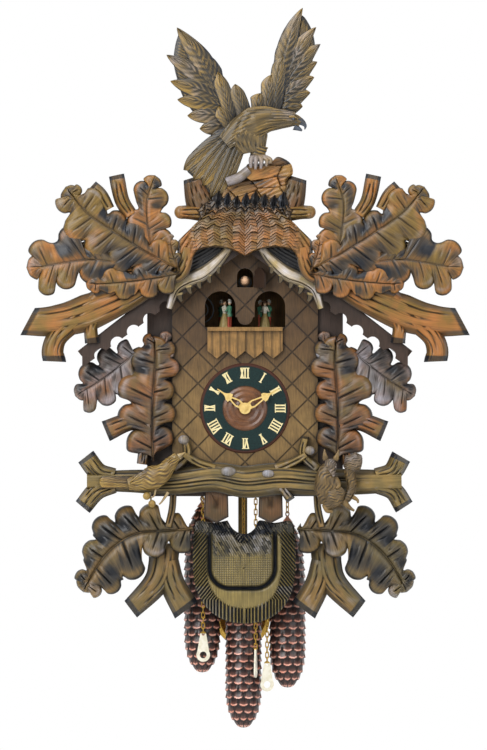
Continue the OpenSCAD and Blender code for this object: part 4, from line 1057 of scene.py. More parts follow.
@dataclass
class Eagle:
    """Eagle with raised wings on the rock, all in low relief.

    Attributes:
        back_y: Depth of the body's flat back.
        wing_y: Depth of the wings' back.
        body_y: Depth of the body's middle.
    """
    back_y: float = -181.8
    wing_y: float = -171.0
    body_y: float = -188.8

    def wing(self, primaries: Sequence[tuple[Point, Point]], covers: Sequence[tuple[Point, Point]],
             bow: float, lead: int) -> list[Surface]:
        """One wing: flight feathers from the lowest up, then the bands of covering feathers."""
        forms = []
        for k, (root, tip) in enumerate(primaries):
            forms.append(blade(root, tip, 27 if k == lead else 25, self.wing_y - 0.35 * k,
                               5.2 - 0.2 * (k % 2), bow, 0.5 + 0.12 * (k % 3), 0.42))
        for k, (root, tip) in enumerate(covers):
            forms.append(blade(root, tip, 20, self.wing_y - 3.4 - 0.5 * k, 5.0, bow * 0.4,
                               0.35 + 0.2 * (k % 2), 0.72))
        return forms

    def wings(self) -> list[Surface]:
        """Both wings."""
        left = [((-16, 196), (-46, 184)), ((-22, 202), (-59, 197)), ((-26, 214), (-75, 214)),
                ((-29, 226), (-88, 235)), ((-34, 236), (-97, 259)), ((-36, 246), (-102, 293)),
                ((-34, 256), (-72, 304)), ((-38, 250), (-88.5, 328.5))]
        right = [((46, 222), (75, 226)), ((48, 229), (85, 244)), ((50, 238), (90, 264)),
                 ((51, 246), (94, 284)), ((53, 252), (98, 307)), ((52, 258), (92.5, 329)),
                 ((50, 266), (58, 320)), ((46, 246), (75, 354))]
        under = [((-20, 212), (-46, 268), 30), ((42, 222), (54, 290), 26)]
        forms = [blade(a, b, w, self.wing_y, 5.0, 0.02, .5, .8) for a, b, w in under]
        forms.append(pad([(-86, 322), (-82, 309), (-72, 295), (-63, 286), (-42, 264), (-26, 243),
                          (-12, 235), (6, 220), (0, 201), (-33, 195), (-42, 192), (-55, 205),
                          (-68, 219), (-81, 239), (-88, 260), (-93, 283), (-91, 305)], (-45, 242),
                         self.wing_y, 3.6, .5, 4.0, -0.5))
        forms.append(pad([(74, 345), (61, 313), (52, 287), (36, 263), (18, 240), (17, 225),
                          (52, 217), (66, 219), (73, 231), (79, 247), (84, 266), (88, 286),
                          (91, 305), (87, 325), (79, 340)], (62, 260), self.wing_y, 3.6, .5, 4.0,
                         0.9))
        forms += self.wing(left, [((-15, 200), (-35, 271)), ((1, 206), (-13, 255)),
                                  ((-14, 192), (-34, 226))], -0.05, 7)
        forms += self.wing(right, [((38, 218), (50, 293)), ((30, 216), (34, 267)),
                                   ((18, 218), (19, 243))], 0.05, 7)
        return forms

    def feathers(self, u: Array, v: Array) -> Array:
        """Long broken strokes of the gouge, along the body and slightly wavy."""
        return 0.8 * np.sin(TURN * (23 * v + 0.9 * np.sin(4 * u + 2))) \
            * (0.6 + 0.4 * np.sin(13 * u + 19 * v)) + 0.3 * np.sin(TURN * 8 * v + 9 * u)

    def face(self) -> list[Surface]:
        """Hooked beak, lower jaw and eye."""
        y = self.body_y
        return [rounded([(66, 207, 7, 5, 3), (73, 205, 5.2, 4, 3), (78, 200, 3, 2.4, 3),
                         (77.5, 195, .5, .5, 3)], y, 24, 20, 1.0),
                rounded([(64, 199, 5, 4, 3), (70, 196, 3.2, 2.4, 3), (74, 193.5, 1.2, 1, 3)], y,
                        16, 16, .9),
                ball((62.5, y - 11.0, 208.5), (1.7, 1.4, 1.7), 1.0)]

    def trunk(self) -> list[Surface]:
        """Back, neck, brow, belly, leg and the root that the tail fan grows from."""
        y = self.body_y
        return [rounded([(-26, 178, 10, 6), (-12, 190, 17, 10), (6, 201, 21, 12, 1),
                         (26, 207.5, 21, 13, 2), (43, 208.5, 17, 11, 2), (55, 208.5, 12.5, 9, 2),
                         (65, 207, 9.5, 8, 2), (72, 203.5, 5.5, 5, 2)], y, 90, 56, .35,
                        self.feathers),
                rounded([(34, 213, 9, 10, 2), (50, 212, 9, 9, 3), (64, 210, 7, 7, 3)], y, 40, 40,
                        .8, lambda u, v: .4 * np.sin(TURN * 14 * v + 4 * u)),
                rounded([(57, 211.5, 1.5, 1.4, 10.5), (64, 211, 1.6, 1.5, 10.8),
                         (69, 208.5, .8, .8, 9)], y, 12, 12, .4),
                rounded([(0, 198, 27, 10), (5, 186, 29, 10), (8, 175, 24, 9), (10, 166, 16, 7)],
                        y, 60, 60, .2, self.feathers),
                rounded([(18, 174, 12, 7), (16, 162, 10, 6), (15, 154, 8, 5)], y, 30, 30, .2,
                        lambda u, v: .35 * np.sin(30 * u + 12 * v)),
                rounded([(-24, 127, 6, 6), (-8, 133, 6.5, 6), (5, 143, 6, 6)], y, 24, 20, 1.0)]

    def claws(self) -> list[Surface]:
        """Five claws that grip the crown: from the leg forwards and down to a point."""
        return [rounded([(12 + k * 2.4, 160, 3.4, 3.4, 3), (x, 156, 3.6, 3.4, 7.5),
                         (x - .5, z, 1.6, 1.6, 8.5)], self.body_y, 14, 12, 1.0)
                for k, (x, z) in enumerate(((8, 145), (14, 143), (21, 144), (28, 147),
                                            (33, 151)))]

    def tail(self) -> list[Surface]:
        """Ground of the tail fan and its six feathers: root, tip, width and bend."""
        ground = pad([(-14, 194), (-46, 174), (-74, 147), (-70, 136), (-58, 128), (-46, 113),
                      (-35, 113), (-22, 136), (-8, 165), (2, 186)], (-32, 156), self.back_y,
                     5.0, .4, 4.0, 0.9)
        feathers = (((-12, 196), (-80, 143), 19, -.05), ((-10, 196), (-68, 129), 17, -.03),
                    ((-8, 195), (-56, 122), 16, -.01), ((-6, 194), (-45, 106), 16, 0),
                    ((-3, 192), (-37, 108), 13, .01), ((0, 188), (-22, 132), 12, .02))
        return [ground] + [blade(root, tip, width, self.back_y - 0.5 * k, 6.5, bend,
                                 0.35 + .1 * (k % 2), .8)
                           for k, (root, tip, width, bend) in enumerate(feathers)]

    def dress(self, kit: "Finishes") -> None:
        """Make the wings, the beak and the body, which is cut flat at the back plane."""
        make_piece("feathered_wings", self.wings(), kit["feather"], "root", ["eagle_wings"])
        make_piece("horn_beak_and_eye", self.face(), kit["ink"], "root")
        body = make_piece("eagle_figure", self.trunk() + self.claws() + self.tail(),
                          kit["feather"], "root", ["eagle_body"])
        points = np.empty(len(body.data.vertices) * 3, np.float32)
        body.data.vertices.foreach_get("co", points)
        points[1::3] = np.minimum(points[1::3], self.back_y * MM)
        body.data.vertices.foreach_set("co", points)


@dataclass
class Crown:
    """Chip-carved crown over the gable with the rock under the eagle.

    Attributes:
        back_y: Depth of its flat back.
        thick: Thickness.
        chips: Chips in a row of one half.
        rows: Rows of chips.
    """
    back_y: float = -177.0
    thick: float = 18.0
    chips: int = 6
    rows: int = 17

    def main(self) -> Surface:
        """Left half of the crown with its drooping flare, covered with zigzag chips.

        The half is a patch between four curves: lower edge, outer edge, upper edge and middle
        line. Rows of chips follow the patch; each chip slopes out towards its lower edge, which
        is a V, and every cell is shifted by its own small random step.
        """
        low = curve([(0, 30), (-15, 38), (-32, 42), (-50, 41), (-63, 36), (-69, 24), (-78, 9)], 116)
        side = curve([(-78, 9), (-84, 22), (-88, 36), (-87, 50), (-76, 61), (-64, 70), (-61, 78),
                      (-65, 90)], 116)
        high = curve([(0, 100), (-24, 104), (-46, 104), (-65, 90)], 116)
        middle = curve([(0, 30), (0, 64), (0, 100)], 116)
        t = np.linspace(0, 1, 116)
        u, w = t[:, None, None], t[None, :, None]
        plan = (1 - w) * low[:, None] + w * high[:, None] + (1 - u) * middle[None] \
            + u * side[None] - ((1 - u) * (1 - w) * low[0] + u * (1 - w) * low[-1]
                                + (1 - u) * w * high[0] + u * w * high[-1])
        u, w = u[..., 0], w[..., 0]
        rng = np.random.default_rng(5)
        shift = rng.uniform(-1, 1, (40, 40, 3))
        col = np.floor(u * self.chips + 0 * w).astype(int)
        a = u * self.chips + 0 * w - col
        line = w * self.rows + 1.2 * np.abs(2 * a - 1) + 0.7 * shift[col % 40, 7, 0] \
            + 0.4 * np.sin(9 * u + 5 * w) + 0.12 * np.sin(61 * u + 23 * w)
        row = np.floor(line).astype(int)
        b = line - row
        jitter = shift[row % 40, col % 40]
        flare = ramp(u, .62, .85) * (1 - ramp(w, .55, .8))
        chip = (1 - b) * 0.8 + 0.7 * jitter[..., 0] * (a - .5) + 0.4 * jitter[..., 1]
        stripe = np.abs(np.sin(np.pi * (w * 8.5 + .5 * np.sin(5 * u + 2)))) ** 0.5 * 2 - 1
        relief = (0.2 + chip * (0.58 + 0.25 * ramp(w, .1, .4))) * (1 - flare) \
            + (0.3 + 0.55 * stripe) * flare
        edge = np.maximum(ramp(u, 0.93, 1.0), ramp(np.abs(2 * w - 1), .93, 1.0))
        y = self.back_y - self.thick + 3.6 - 2.3 * relief + 7 * edge + 4.0 * flare
        # Painted shade: the carving value falls towards the upper edge, which lies under the rock;
        # the tone, and with it the painted grey sheen, rises towards it.
        carve = 0.53 + 0.38 * relief - 0.45 * edge - 0.20 * ((b > .82) * (1 - flare)) \
            - 0.50 * ramp(w, .55, .95) - 0.12 * bell(w - .5, .2) * (1 - flare)
        tone = 0.12 + 0.25 * jitter[..., 2] + .45 * ramp(w, .12, .5)
        return slab(plan[..., 0], y, plan[..., 1], self.back_y, carve, tone,
                    (plan[..., 0], plan[..., 1]), False)

    def rock(self) -> Surface:
        """Rough block under the claws.

        Its outline is filled from the middle. The face is broken into flat cuts, one for each
        of a set of seeded points, each tilted its own way, with fine slanting gouge marks.
        """
        outline = [(-33, 106), (-29, 122), (-19, 132), (-1, 141), (4, 151), (24, 151.5), (34, 154),
                   (42, 160), (52, 157), (60, 150), (62, 138), (55, 130), (56, 118), (48, 107),
                   (30, 100), (0, 99), (-20, 100)]
        r, px, pz = fan(outline, (12.0, 122.0), 301, 50)
        rng = np.random.default_rng(31)
        seeds = rng.uniform((-34, 98), (64, 162), (13, 2))
        fall = rng.uniform(-1, 1, (13, 2)) * 0.022
        away = np.hypot(px[..., None] - seeds[:, 0], (pz[..., None] - seeds[:, 1]) * 1.7)
        order = np.argsort(away, axis=-1)[..., :2]
        first = np.take_along_axis(away, order, -1)
        face = order[..., 0]
        seam = bell(first[..., 1] - first[..., 0], 1.1)
        tilt = fall[face, 0] * (px - seeds[face, 0]) + fall[face, 1] * (pz - seeds[face, 1])
        lean = pz - 0.38 * px
        arc = 0.5 + 0.5 * np.sin(lean * 1.1 + 2 * np.sin(px / 9.0))
        step = (face % 4) / 3.0
        height = 0.72 + tilt + 0.16 * step + 0.05 * arc - 0.12 * seam
        edge = ramp(r, 0.90, 1.0)
        y = self.back_y - (self.thick - 4) * np.clip(height - 0.35 * edge, .2, 1)
        gashes = 0 * px
        for x, z, dx, dz in ((1, 132, 30, 7), (8, 125, 15, 4), (38, 135, 22, -2), (20, 124, 16, 7),
                             (-24, 112, 14, 9), (30, 110, 9, 12)):
            t = np.clip(((px - x) * dx + (pz - z) * dz) / (dx * dx + dz * dz), 0, 1)
            gashes += bell(np.hypot(px - x - t * dx, pz - z - t * dz), 1.3)
        carve = 0.60 + 0.16 * arc + 1.3 * tilt - 0.3 * edge + 0.26 * step - 0.105 * seam \
            - 0.45 * np.clip(gashes, 0, 1)
        tone = 0.1 + 0.5 * step * ramp(-px, -5, 20)
        return slab(px, y, pz, self.back_y, carve, tone, (px, lean))

    def dress(self, kit: "Finishes") -> None:
        """Make the crown, its flares, twigs and flaps, and the rock."""
        y = self.back_y
        flares = both([
            self.main(),
            Limb([(-50, 86), (-70, 88), (-84, 88)], [22, 18, 17], y, 14, (-.3, .3), 0, tone=.3,
                 seed=36).build(),
            ball((-84, y - 7, 88), (8, 6.5, 8.5), .75)])
        stubs = both([Limb([(-54, 93), (-61, 110), (-68, 133)], [44, 38, 25], y, 11,
                           (-.5, 0, .4), 5, tone=.5, seed=37).build()])
        make_piece("cut_crown_stubs", stubs, kit["plain"], "root")
        row = [blade((x, 88 + 1.5 * math.sin(x)), (x + 1.5, 113 + 3 * math.sin(3 * x)), 16.5, y,
                     20.0, .03, .3 + .5 * (k % 2), .4) for k, x in enumerate(range(-35, 56, 12))]
        backing = pad([(-80, 6), (-72, 30), (-60, 42), (-30, 44), (-24, 34), (-40, 14), (-60, 0)],
                      (-55, 24), y + 10, 5, .2, 5.0)
        make_piece("stained_gable_ground", both([backing]), kit["ink"], "root")
        make_piece("chip_carved_crown", flares, kit["amber"], "root", ["crown"])
        make_piece("dark_chip_row", row, kit["ink"], "root")
        make_piece("gouged_rock", [self.rock()], kit["rock"], "root", ["eagle_rock"])


# ------------------------------------------------------------------ case, plate and dial

@dataclass
class House:
    """Carved parts fixed to the case front: the pale arches under the crown.

    Attributes:
        arch_y: Back of the arches.
        arch_t: Their thickness.
    """
    arch_y: float = -171.0
    arch_t: float = 6.0

    def arches(self) -> list[Surface]:
        """One pale curved moulding with thorns along its lower edge, and its mirror image."""
        y, t = self.arch_y, self.arch_t
        forms = [Limb([(-20, 43), (-34, 26), (-54, 9), (-76, -1), (-91, -13), (-99, -37)],
                      [10, 14, 16, 18, 18, 8], y, t, (0.5,), 0, tone=.8, seed=50).build()]
        for x, z, dx, dz in ((-36, 20, 2, -14), (-48, 8, 3, -14), (-61, 0, 3, -13),
                             (-74, -7, 4, -13), (-86, -17, 4, -13)):
            forms.append(Limb([(x, z), (x + dx * .4, z + dz * .5), (x + dx, z + dz * .8)],
                              [12, 10, 4], y, t - 2.5, (), 9, tone=.05, seed=52).build())
        return both(forms)

    def dress(self, kit: "Finishes") -> None:
        """Make the arches."""
        make_piece("thorned_arches", self.arches(), kit["pale"], "root", ["gable_arches"])


@dataclass
class NestPlate:
    """Lower plate: gouged rim, smooth band, dark channel and a woven nest.

    Attributes:
        middle: x and z of the point the rim's gouges aim at.
        back_y: Depth of its back.
        thick: Thickness.
    """
    middle: Point = (-2.0, -376.0)
    back_y: float = -126.0
    thick: float = 14.0

    def plate(self) -> Surface:
        """The plate over polar coordinates (angle, share of the outline's radius).

        The outline is a closed curve through its corners; rim, band, channel and nest take
        fixed shares of the radius, and the nest blends from a rough mound above to a diamond
        weave below.
        """
        outline = [(-23, -314), (-42, -317), (-62, -315), (-67, -330), (-68, -352), (-68, -378),
                   (-64, -404), (-52, -426), (-36, -440), (-18, -447), (0, -449), (18, -447),
                   (36, -440), (52, -426), (62, -404), (66, -378), (66, -352), (65, -330),
                   (60, -315), (38, -317), (19, -314), (13, -324), (4, -331), (-6, -331),
                   (-16, -325)]
        r, px, pz = fan(outline, self.middle, 601, 80)
        low = 1 - ramp(pz, -336, -322)
        nest_x, nest_half, nest_low, corner = -3.6, 43, -403, 27.0
        across = np.abs(px - nest_x) - (nest_half - corner)
        down = (nest_low + corner) - pz
        reach = np.hypot(np.maximum(across, 0), np.maximum(down, 0)) \
            + np.minimum(np.maximum(across, down), 0) - corner
        channel = bell(reach, 2.6) * (1 - ramp(pz, -336, -326))
        nest = ramp(-reach, 2.0, 6.0)
        inner = np.clip(1 + reach / 40.0, 0, 1)
        stroke = np.abs(px + 1) + 0.8 * np.maximum(pz + 418, 0)
        groove = np.sin(TURN * stroke / 4.4 + 1.2 * np.sin(stroke / 7.0))
        rim = ramp(r + 0.03 * groove, 0.70, 0.73) * low
        cut = np.abs(groove) ** 0.6 * np.sign(groove)
        weave = np.sin((px + pz) * 1.05) * np.sin((px - pz) * 1.05)
        rng = np.random.default_rng(11)
        cell = rng.uniform(-1, 1, (64, 64))
        ci = (np.floor((px + 0.6 * pz) / 4.0).astype(int) % 64,
              np.floor((pz - 0.2 * px) / 5.5).astype(int) % 64)
        rough = cell[ci] + 0.6 * np.sin(px * 1.9 + pz * 1.1)
        mound = ramp(pz, -368, -352)
        dome = np.sqrt(np.clip(1 - inner * 0.75, 0, 1))
        height = 0.52 + 0.1 * ramp(r, 0.5, 0.78) - 0.42 * channel
        height = height + nest * (0.12 * dome + 0.10 * mound * dome + 0.035 * weave * (1 - mound)
                                  + 0.05 * rough * mound)
        height = height - rim * (0.12 + 0.30 * ramp(r, .8, 1.02)) + rim * 0.09 * cut \
            + (1 - low) * 0.05 * rough - 0.1 * ramp(r, 0.97, 1.0)
        y = self.back_y - self.thick * np.clip(height, 0.1, 0.98)
        carve = 0.80 - 0.85 * channel + nest * (-0.1 + 0.25 * weave * (1 - mound)
                                                 + (0.30 * rough - 0.16) * mound)
        carve = carve + rim * (-0.42 + 0.5 * cut) + (1 - low) * (0.15 * rough - 0.4)
        # Tone sets the painted blue-grey sheen: most on the mound and the plate's top strip, more
        # on the rim below z -400 mm.
        tone = 0.35 + 0.6 * (nest * mound + (1 - low)) * (0.6 + 0.4 * rough) \
            + 0.35 * rim * (pz < -400)
        return slab(px, y, pz, self.back_y, carve, tone, (pz, px))

    def straps(self) -> list[Surface]:
        """Two plain boards with pointed ends and bevelled edges that hang the plate."""
        share, bevel, carve = np.array([[0, .5, .84, .93, 1.0], [0, 0, 0, .6, 2.2],
                                        [.7, .7, .62, .3, .15]])
        forms, front, back = [], -146, -140.05
        for x in (-37.5, 33.5):
            corners = np.array([(x - 15, -262), (x + 15, -262), (x + 16, -309), (x, -317.5),
                                (x - 16, -309)], float)
            t = np.linspace(0, 1, 8, endpoint=False)[:, None]
            walk = (corners[:, None] + (np.roll(corners, -1, 0) - corners)[:, None] * t)
            walk = np.vstack([walk.reshape(-1, 2), corners[:1]])
            mid = corners.mean(0)
            plan = mid + (walk - mid)[:, None] * share[:, None]
            forms.append(slab(plan[..., 0], front + bevel, plan[..., 1], back, carve, .5,
                              (plan[..., 1], plan[..., 0])))
        return forms

    def dress(self, kit: "Finishes") -> None:
        """Make the plate and its straps."""
        make_piece("gouged_nest_plate", [self.plate()], kit["moss"], "root", ["nest_plate"])
        make_piece("plate_straps", self.straps(), kit["plain"], "root")


@dataclass
class Animals:
    """Songbird and squirrel on the cross branch.

    Attributes:
        bird_y: Depth of the songbird's middle.
        squirrel_y: Depth of the squirrel's middle.
        back_y: Front of the branch that they sit on.
    """
    bird_y: float = -172.0
    squirrel_y: float = -173.0
    back_y: float = -168.0

    def fur(self, pitch: float, depth: float) -> Callable[[Array, Array], Array]:
        """Relief of short tufts: fine strokes along the body, broken by two crossing waves."""
        return lambda u, v: depth * np.sin(TURN * (19 * v + 1.1 * np.sin(pitch * u + 9 * v))) \
            * (0.55 + 0.45 * np.sin(2.3 * pitch * u + 5 * np.sin(7 * v)))

    def songbird(self) -> list[Surface]:
        """Bird facing right: tail, body, head, beak, wing, eye, feet and two berries."""
        y = self.bird_y
        body = rounded([(-152, -266, 7, 4), (-138, -263, 13, 8), (-122, -258, 16, 11, 1),
                        (-108, -251, 14, 10.5, 2), (-99, -241, 9.5, 8.5, 2), (-93, -234, 9, 8, 2),
                        (-88, -229, 5, 5, 2)], y, 70, 40, .4, self.fur(11, .6))
        tail = blade((-140, -264), (-190, -261), 15, self.back_y, 5, 0.0, .3, .9)
        wing = blade((-106, -250), (-150, -264), 17, self.back_y - 8, 5.5, -.06, .6, .6)
        beak = rounded([(-87, -229, 3.4, 3.2, 2), (-82, -226.5, 2.2, 2, 2), (-78, -224, .4, .4, 2)],
                       y, 14, 14, 1.0)
        chin = rounded([(-88, -233, 2.6, 2.6, 2), (-83, -231, .5, .5, 2)], y, 10, 12, .9)
        eye = ball((-92, y - 10, -230), (1.3, 1.0, 1.3), 1.0)
        feet = [rounded([(-116, -270, 1.6, 1.6), (-118, -280, 1.4, 1.4, 3),
                         (-122, -283, .8, .8, 4)], y, 14, 10, .8)]
        berries = [ball((-128, y - 2, -281), (5, 5, 5), .3),
                   ball((-121, y - 2, -291), (5, 5, 5), .3),
                   rounded([(-124, -276, 1.4, 1.4), (-122, -288, 1.2, 1.2)], y, 10, 10, .9),
                   rounded([(-100, -276, 2.2, 2), (-108, -288, 1.6, 1.6), (-112, -292, .8, .8)], y,
                           12, 10, .8)]
        return [body, tail, wing, beak, chin, eye, *feet, *berries]

    def squirrel(self) -> list[Surface]:
        """Squirrel crouched head up: trunk, haunches, head, ears, paws, tail and its brush."""
        y = self.squirrel_y
        fur = self.fur(9, .55)
        trunk = rounded([(107, -292, 11, 7), (108, -276, 17, 10, 1), (106, -262, 17, 10.5, 2),
                         (106, -251, 13, 10, 2), (111, -243, 9, 9, 3)], y, 60, 44, .45, fur)
        haunch = rounded([(106, -296, 6, 4, 4), (112, -287, 12.5, 7.5, 6), (119, -280, 13, 7.5, 6),
                          (127, -272, 6, 4, 4)], y, 50, 40, .35, fur)
        head = rounded([(110, -234, 5.5, 5, 5), (111, -240, 8, 7, 7), (113, -247, 6.4, 6, 8.5),
                        (115, -254, 3, 3, 9)], y, 34, 30, .85, self.fur(6, .3))
        ears = [rounded([(105, -234, 3.6, 2, 5), (103.6, -227, 3.6, 1.8, 6),
                         (103.4, -220, .6, .5, 6)], y, 18, 16, .3),
                rounded([(117, -234, 3.6, 2, 5), (120, -228, 3.6, 1.8, 6),
                         (121.6, -221, .6, .5, 6)], y, 18, 16, .3)]
        eyes = [ball((107.6, y - 13.4, -242), (1.3, 1.1, 1.3), 1.0),
                ball((117.6, y - 13.0, -243), (1.3, 1.1, 1.3), 1.0)]
        nose = ball((115, y - 12.0, -254.5), (1.6, 1.4, 1.3), 1.0)
        paws = [rounded([(98, -260, 4.5, 4, 2), (97, -268, 3.6, 3.6, 5), (102, -273, 2, 2, 8)], y,
                        20, 16, .4),
                rounded([(117, -258, 4.5, 4, 4), (122, -266, 3.6, 3.6, 7), (119, -271, 2, 2, 9)],
                        y, 20, 16, .4),
                rounded([(104, -292, 4.5, 4, 4), (107, -300, 3.2, 3, 6), (114, -301, 1.6, 1.6, 7)],
                        y, 20, 16, .3),
                rounded([(128, -288, 4.5, 4, 3), (136, -296, 3, 3, 5), (142, -300, 1.4, 1.4, 6)],
                        y, 20, 16, .3),
                rounded([(140, -282, 3, 3, 3), (146, -286, 2.4, 2.4, 4), (147, -290, 1.2, 1.2, 5)],
                        y, 16, 14, .3)]
        tail = rounded([(124, -290, 5, 4), (134, -282, 6, 5), (139, -268, 6, 5),
                        (137, -254, 6.5, 5.5, 1), (136, -246, 8, 7, 2)], y, 50, 30, .5,
                       self.fur(14, .5))
        brush = rounded([(132, -246, 6, 5, 2), (138, -240, 12.5, 9, 4), (144, -233, 12.5, 9, 4),
                         (147, -226, 5, 4, 3)], y, 46, 40, .8, self.fur(10, .6))
        return [trunk, haunch, head, *ears, *eyes, nose, *paws, tail, brush]

    def dress(self, kit: "Finishes") -> None:
        """Make both animals."""
        make_piece("songbird_figure", self.songbird(), kit["fawn"], "root", ["songbird"])
        make_piece("squirrel_figure", self.squirrel(), kit["fur"], "root", ["squirrel"])


# ------------------------------------------------------------------ weights

class Side(Enum):
    """The three trains: name, x of the weight's chain, z of the cone's head, z of the tag."""
    LEFT = ("left", -56.5, -292.0, -463.5)
    CENTRE = ("centre", -2.0, -365.0, -484.5)
    RIGHT = ("right", 56.0, -312.0, -502.5)


@dataclass
class Weights:
    """Pine-cone weights of cast iron.

    Attributes:
        axis_y: Depth of the chains.
        radius: Greatest radius.
        length: Length of a cone.
        rows: Rows of scales.
        scales: Scales round a row.
    """
    axis_y: float = -68.0
    radius: float = 24.2
    length: float = 219.0
    rows: int = 23
    scales: int = 10

    def cone(self, x: float, top: float) -> Surface:
        """One cone: a turned form whose radius carries staggered scales.

        Inside its cell each scale rises towards its lower rim, which is a downward curve, and
        drops steeply past it. The rim alone is rubbed bright.
        """
        rings, cols = 250, 120
        u, v = np.meshgrid(np.linspace(0, 1, rings), np.arange(cols) / cols, indexing="ij")
        top_end, low_end = np.clip(u / 0.4, 0, 1), np.clip((1 - u) / 0.22, 0, 1)
        body = self.radius * np.sqrt((1 - (1 - top_end) ** 2) * (1 - (1 - low_end) ** 2))
        line = u * self.rows
        row = np.floor(line)
        around = v * self.scales + 0.5 * (row % 2)
        cell = around - np.floor(around) - .5
        drop = line - row - 0.30 + 1.3 * cell ** 2
        over = drop > 0.62
        next_around = v * self.scales + 0.5 * ((row + 1) % 2)
        next_cell = next_around - np.floor(next_around) - .5
        drop = np.where(over, drop - 1.0 + 1.3 * (next_cell ** 2 - cell ** 2), drop)
        across = np.where(over, next_cell, cell)
        t = np.clip(drop + 0.38, 0, 1)
        lift = t ** 1.6 * (1 - 0.9 * ramp(np.abs(across), .3, .52))
        lip = bell(drop - 0.50, 0.10) * (1 - ramp(np.abs(across), .30, .46))
        r = np.maximum(body - 1.6 + 2.2 * lift, 0) * (body > 0)
        a = TURN * v
        ring = np.stack([x + r * np.sin(a), self.axis_y - r * np.cos(a),
                         top - 3.5 - u * (self.length + 2)], -1)
        carve = np.clip(0.03 + 0.40 * lift * (1 - ramp(np.abs(across), .2, .44)) + 0.95 * lip, 0, 1)
        return wrapped(ring, carve, .5, u * self.length, v * 140)

    def eye(self, x: float, top: float) -> Surface:
        """Ring in which the chain's last link hangs."""
        ring_r, wire_r, lift, diagonal = 3, .8, 5, .7071
        a = np.linspace(0, TURN, 33)
        ring = np.stack([x + ring_r * np.cos(a) * diagonal,
                         self.axis_y + ring_r * np.cos(a) * diagonal,
                         top + lift + ring_r * np.sin(a)], -1)
        v = np.arange(12) / 12 * TURN
        out = ring - np.array([x, self.axis_y, top + lift])
        out /= np.linalg.norm(out, axis=1, keepdims=True)
        flat_side = np.array([-diagonal, diagonal, 0])
        wall = ring[:, None] + wire_r * (out[:, None] * np.cos(v)[None, :, None]
                                         + flat_side * np.sin(v)[None, :, None])
        return wrapped(wall, .5, .5, 0.0, 0.0)

    def dress(self, kit: "Finishes") -> None:
        """Make the three cones."""
        for side in Side:
            name, x, top, _ = side.value
            neck = turned([(0, 3), (1.6, 2.6), (2.4, 0), (5, -3), (7, -6), (0, -6.5)],
                          (x, self.axis_y, top), 24)
            make_piece(f"pine_cone_{name}", [self.cone(x, top), self.eye(x, top), neck],
                       kit["cone"], f"weight_{name}", [f"cone_{name}"])


# ------------------------------------------------------------------ dancers and cuckoo

class Part(Enum):
    """Painted colours of the little figures, as places on the figure finish's tone ramp."""
    CREAM = 0.05
    SKIN = 0.17
    HAIR = 0.29
    OLIVE = 0.42
    GREEN = 0.54
    RED = 0.67
    BLACK = 0.79
    WHITE = 0.92


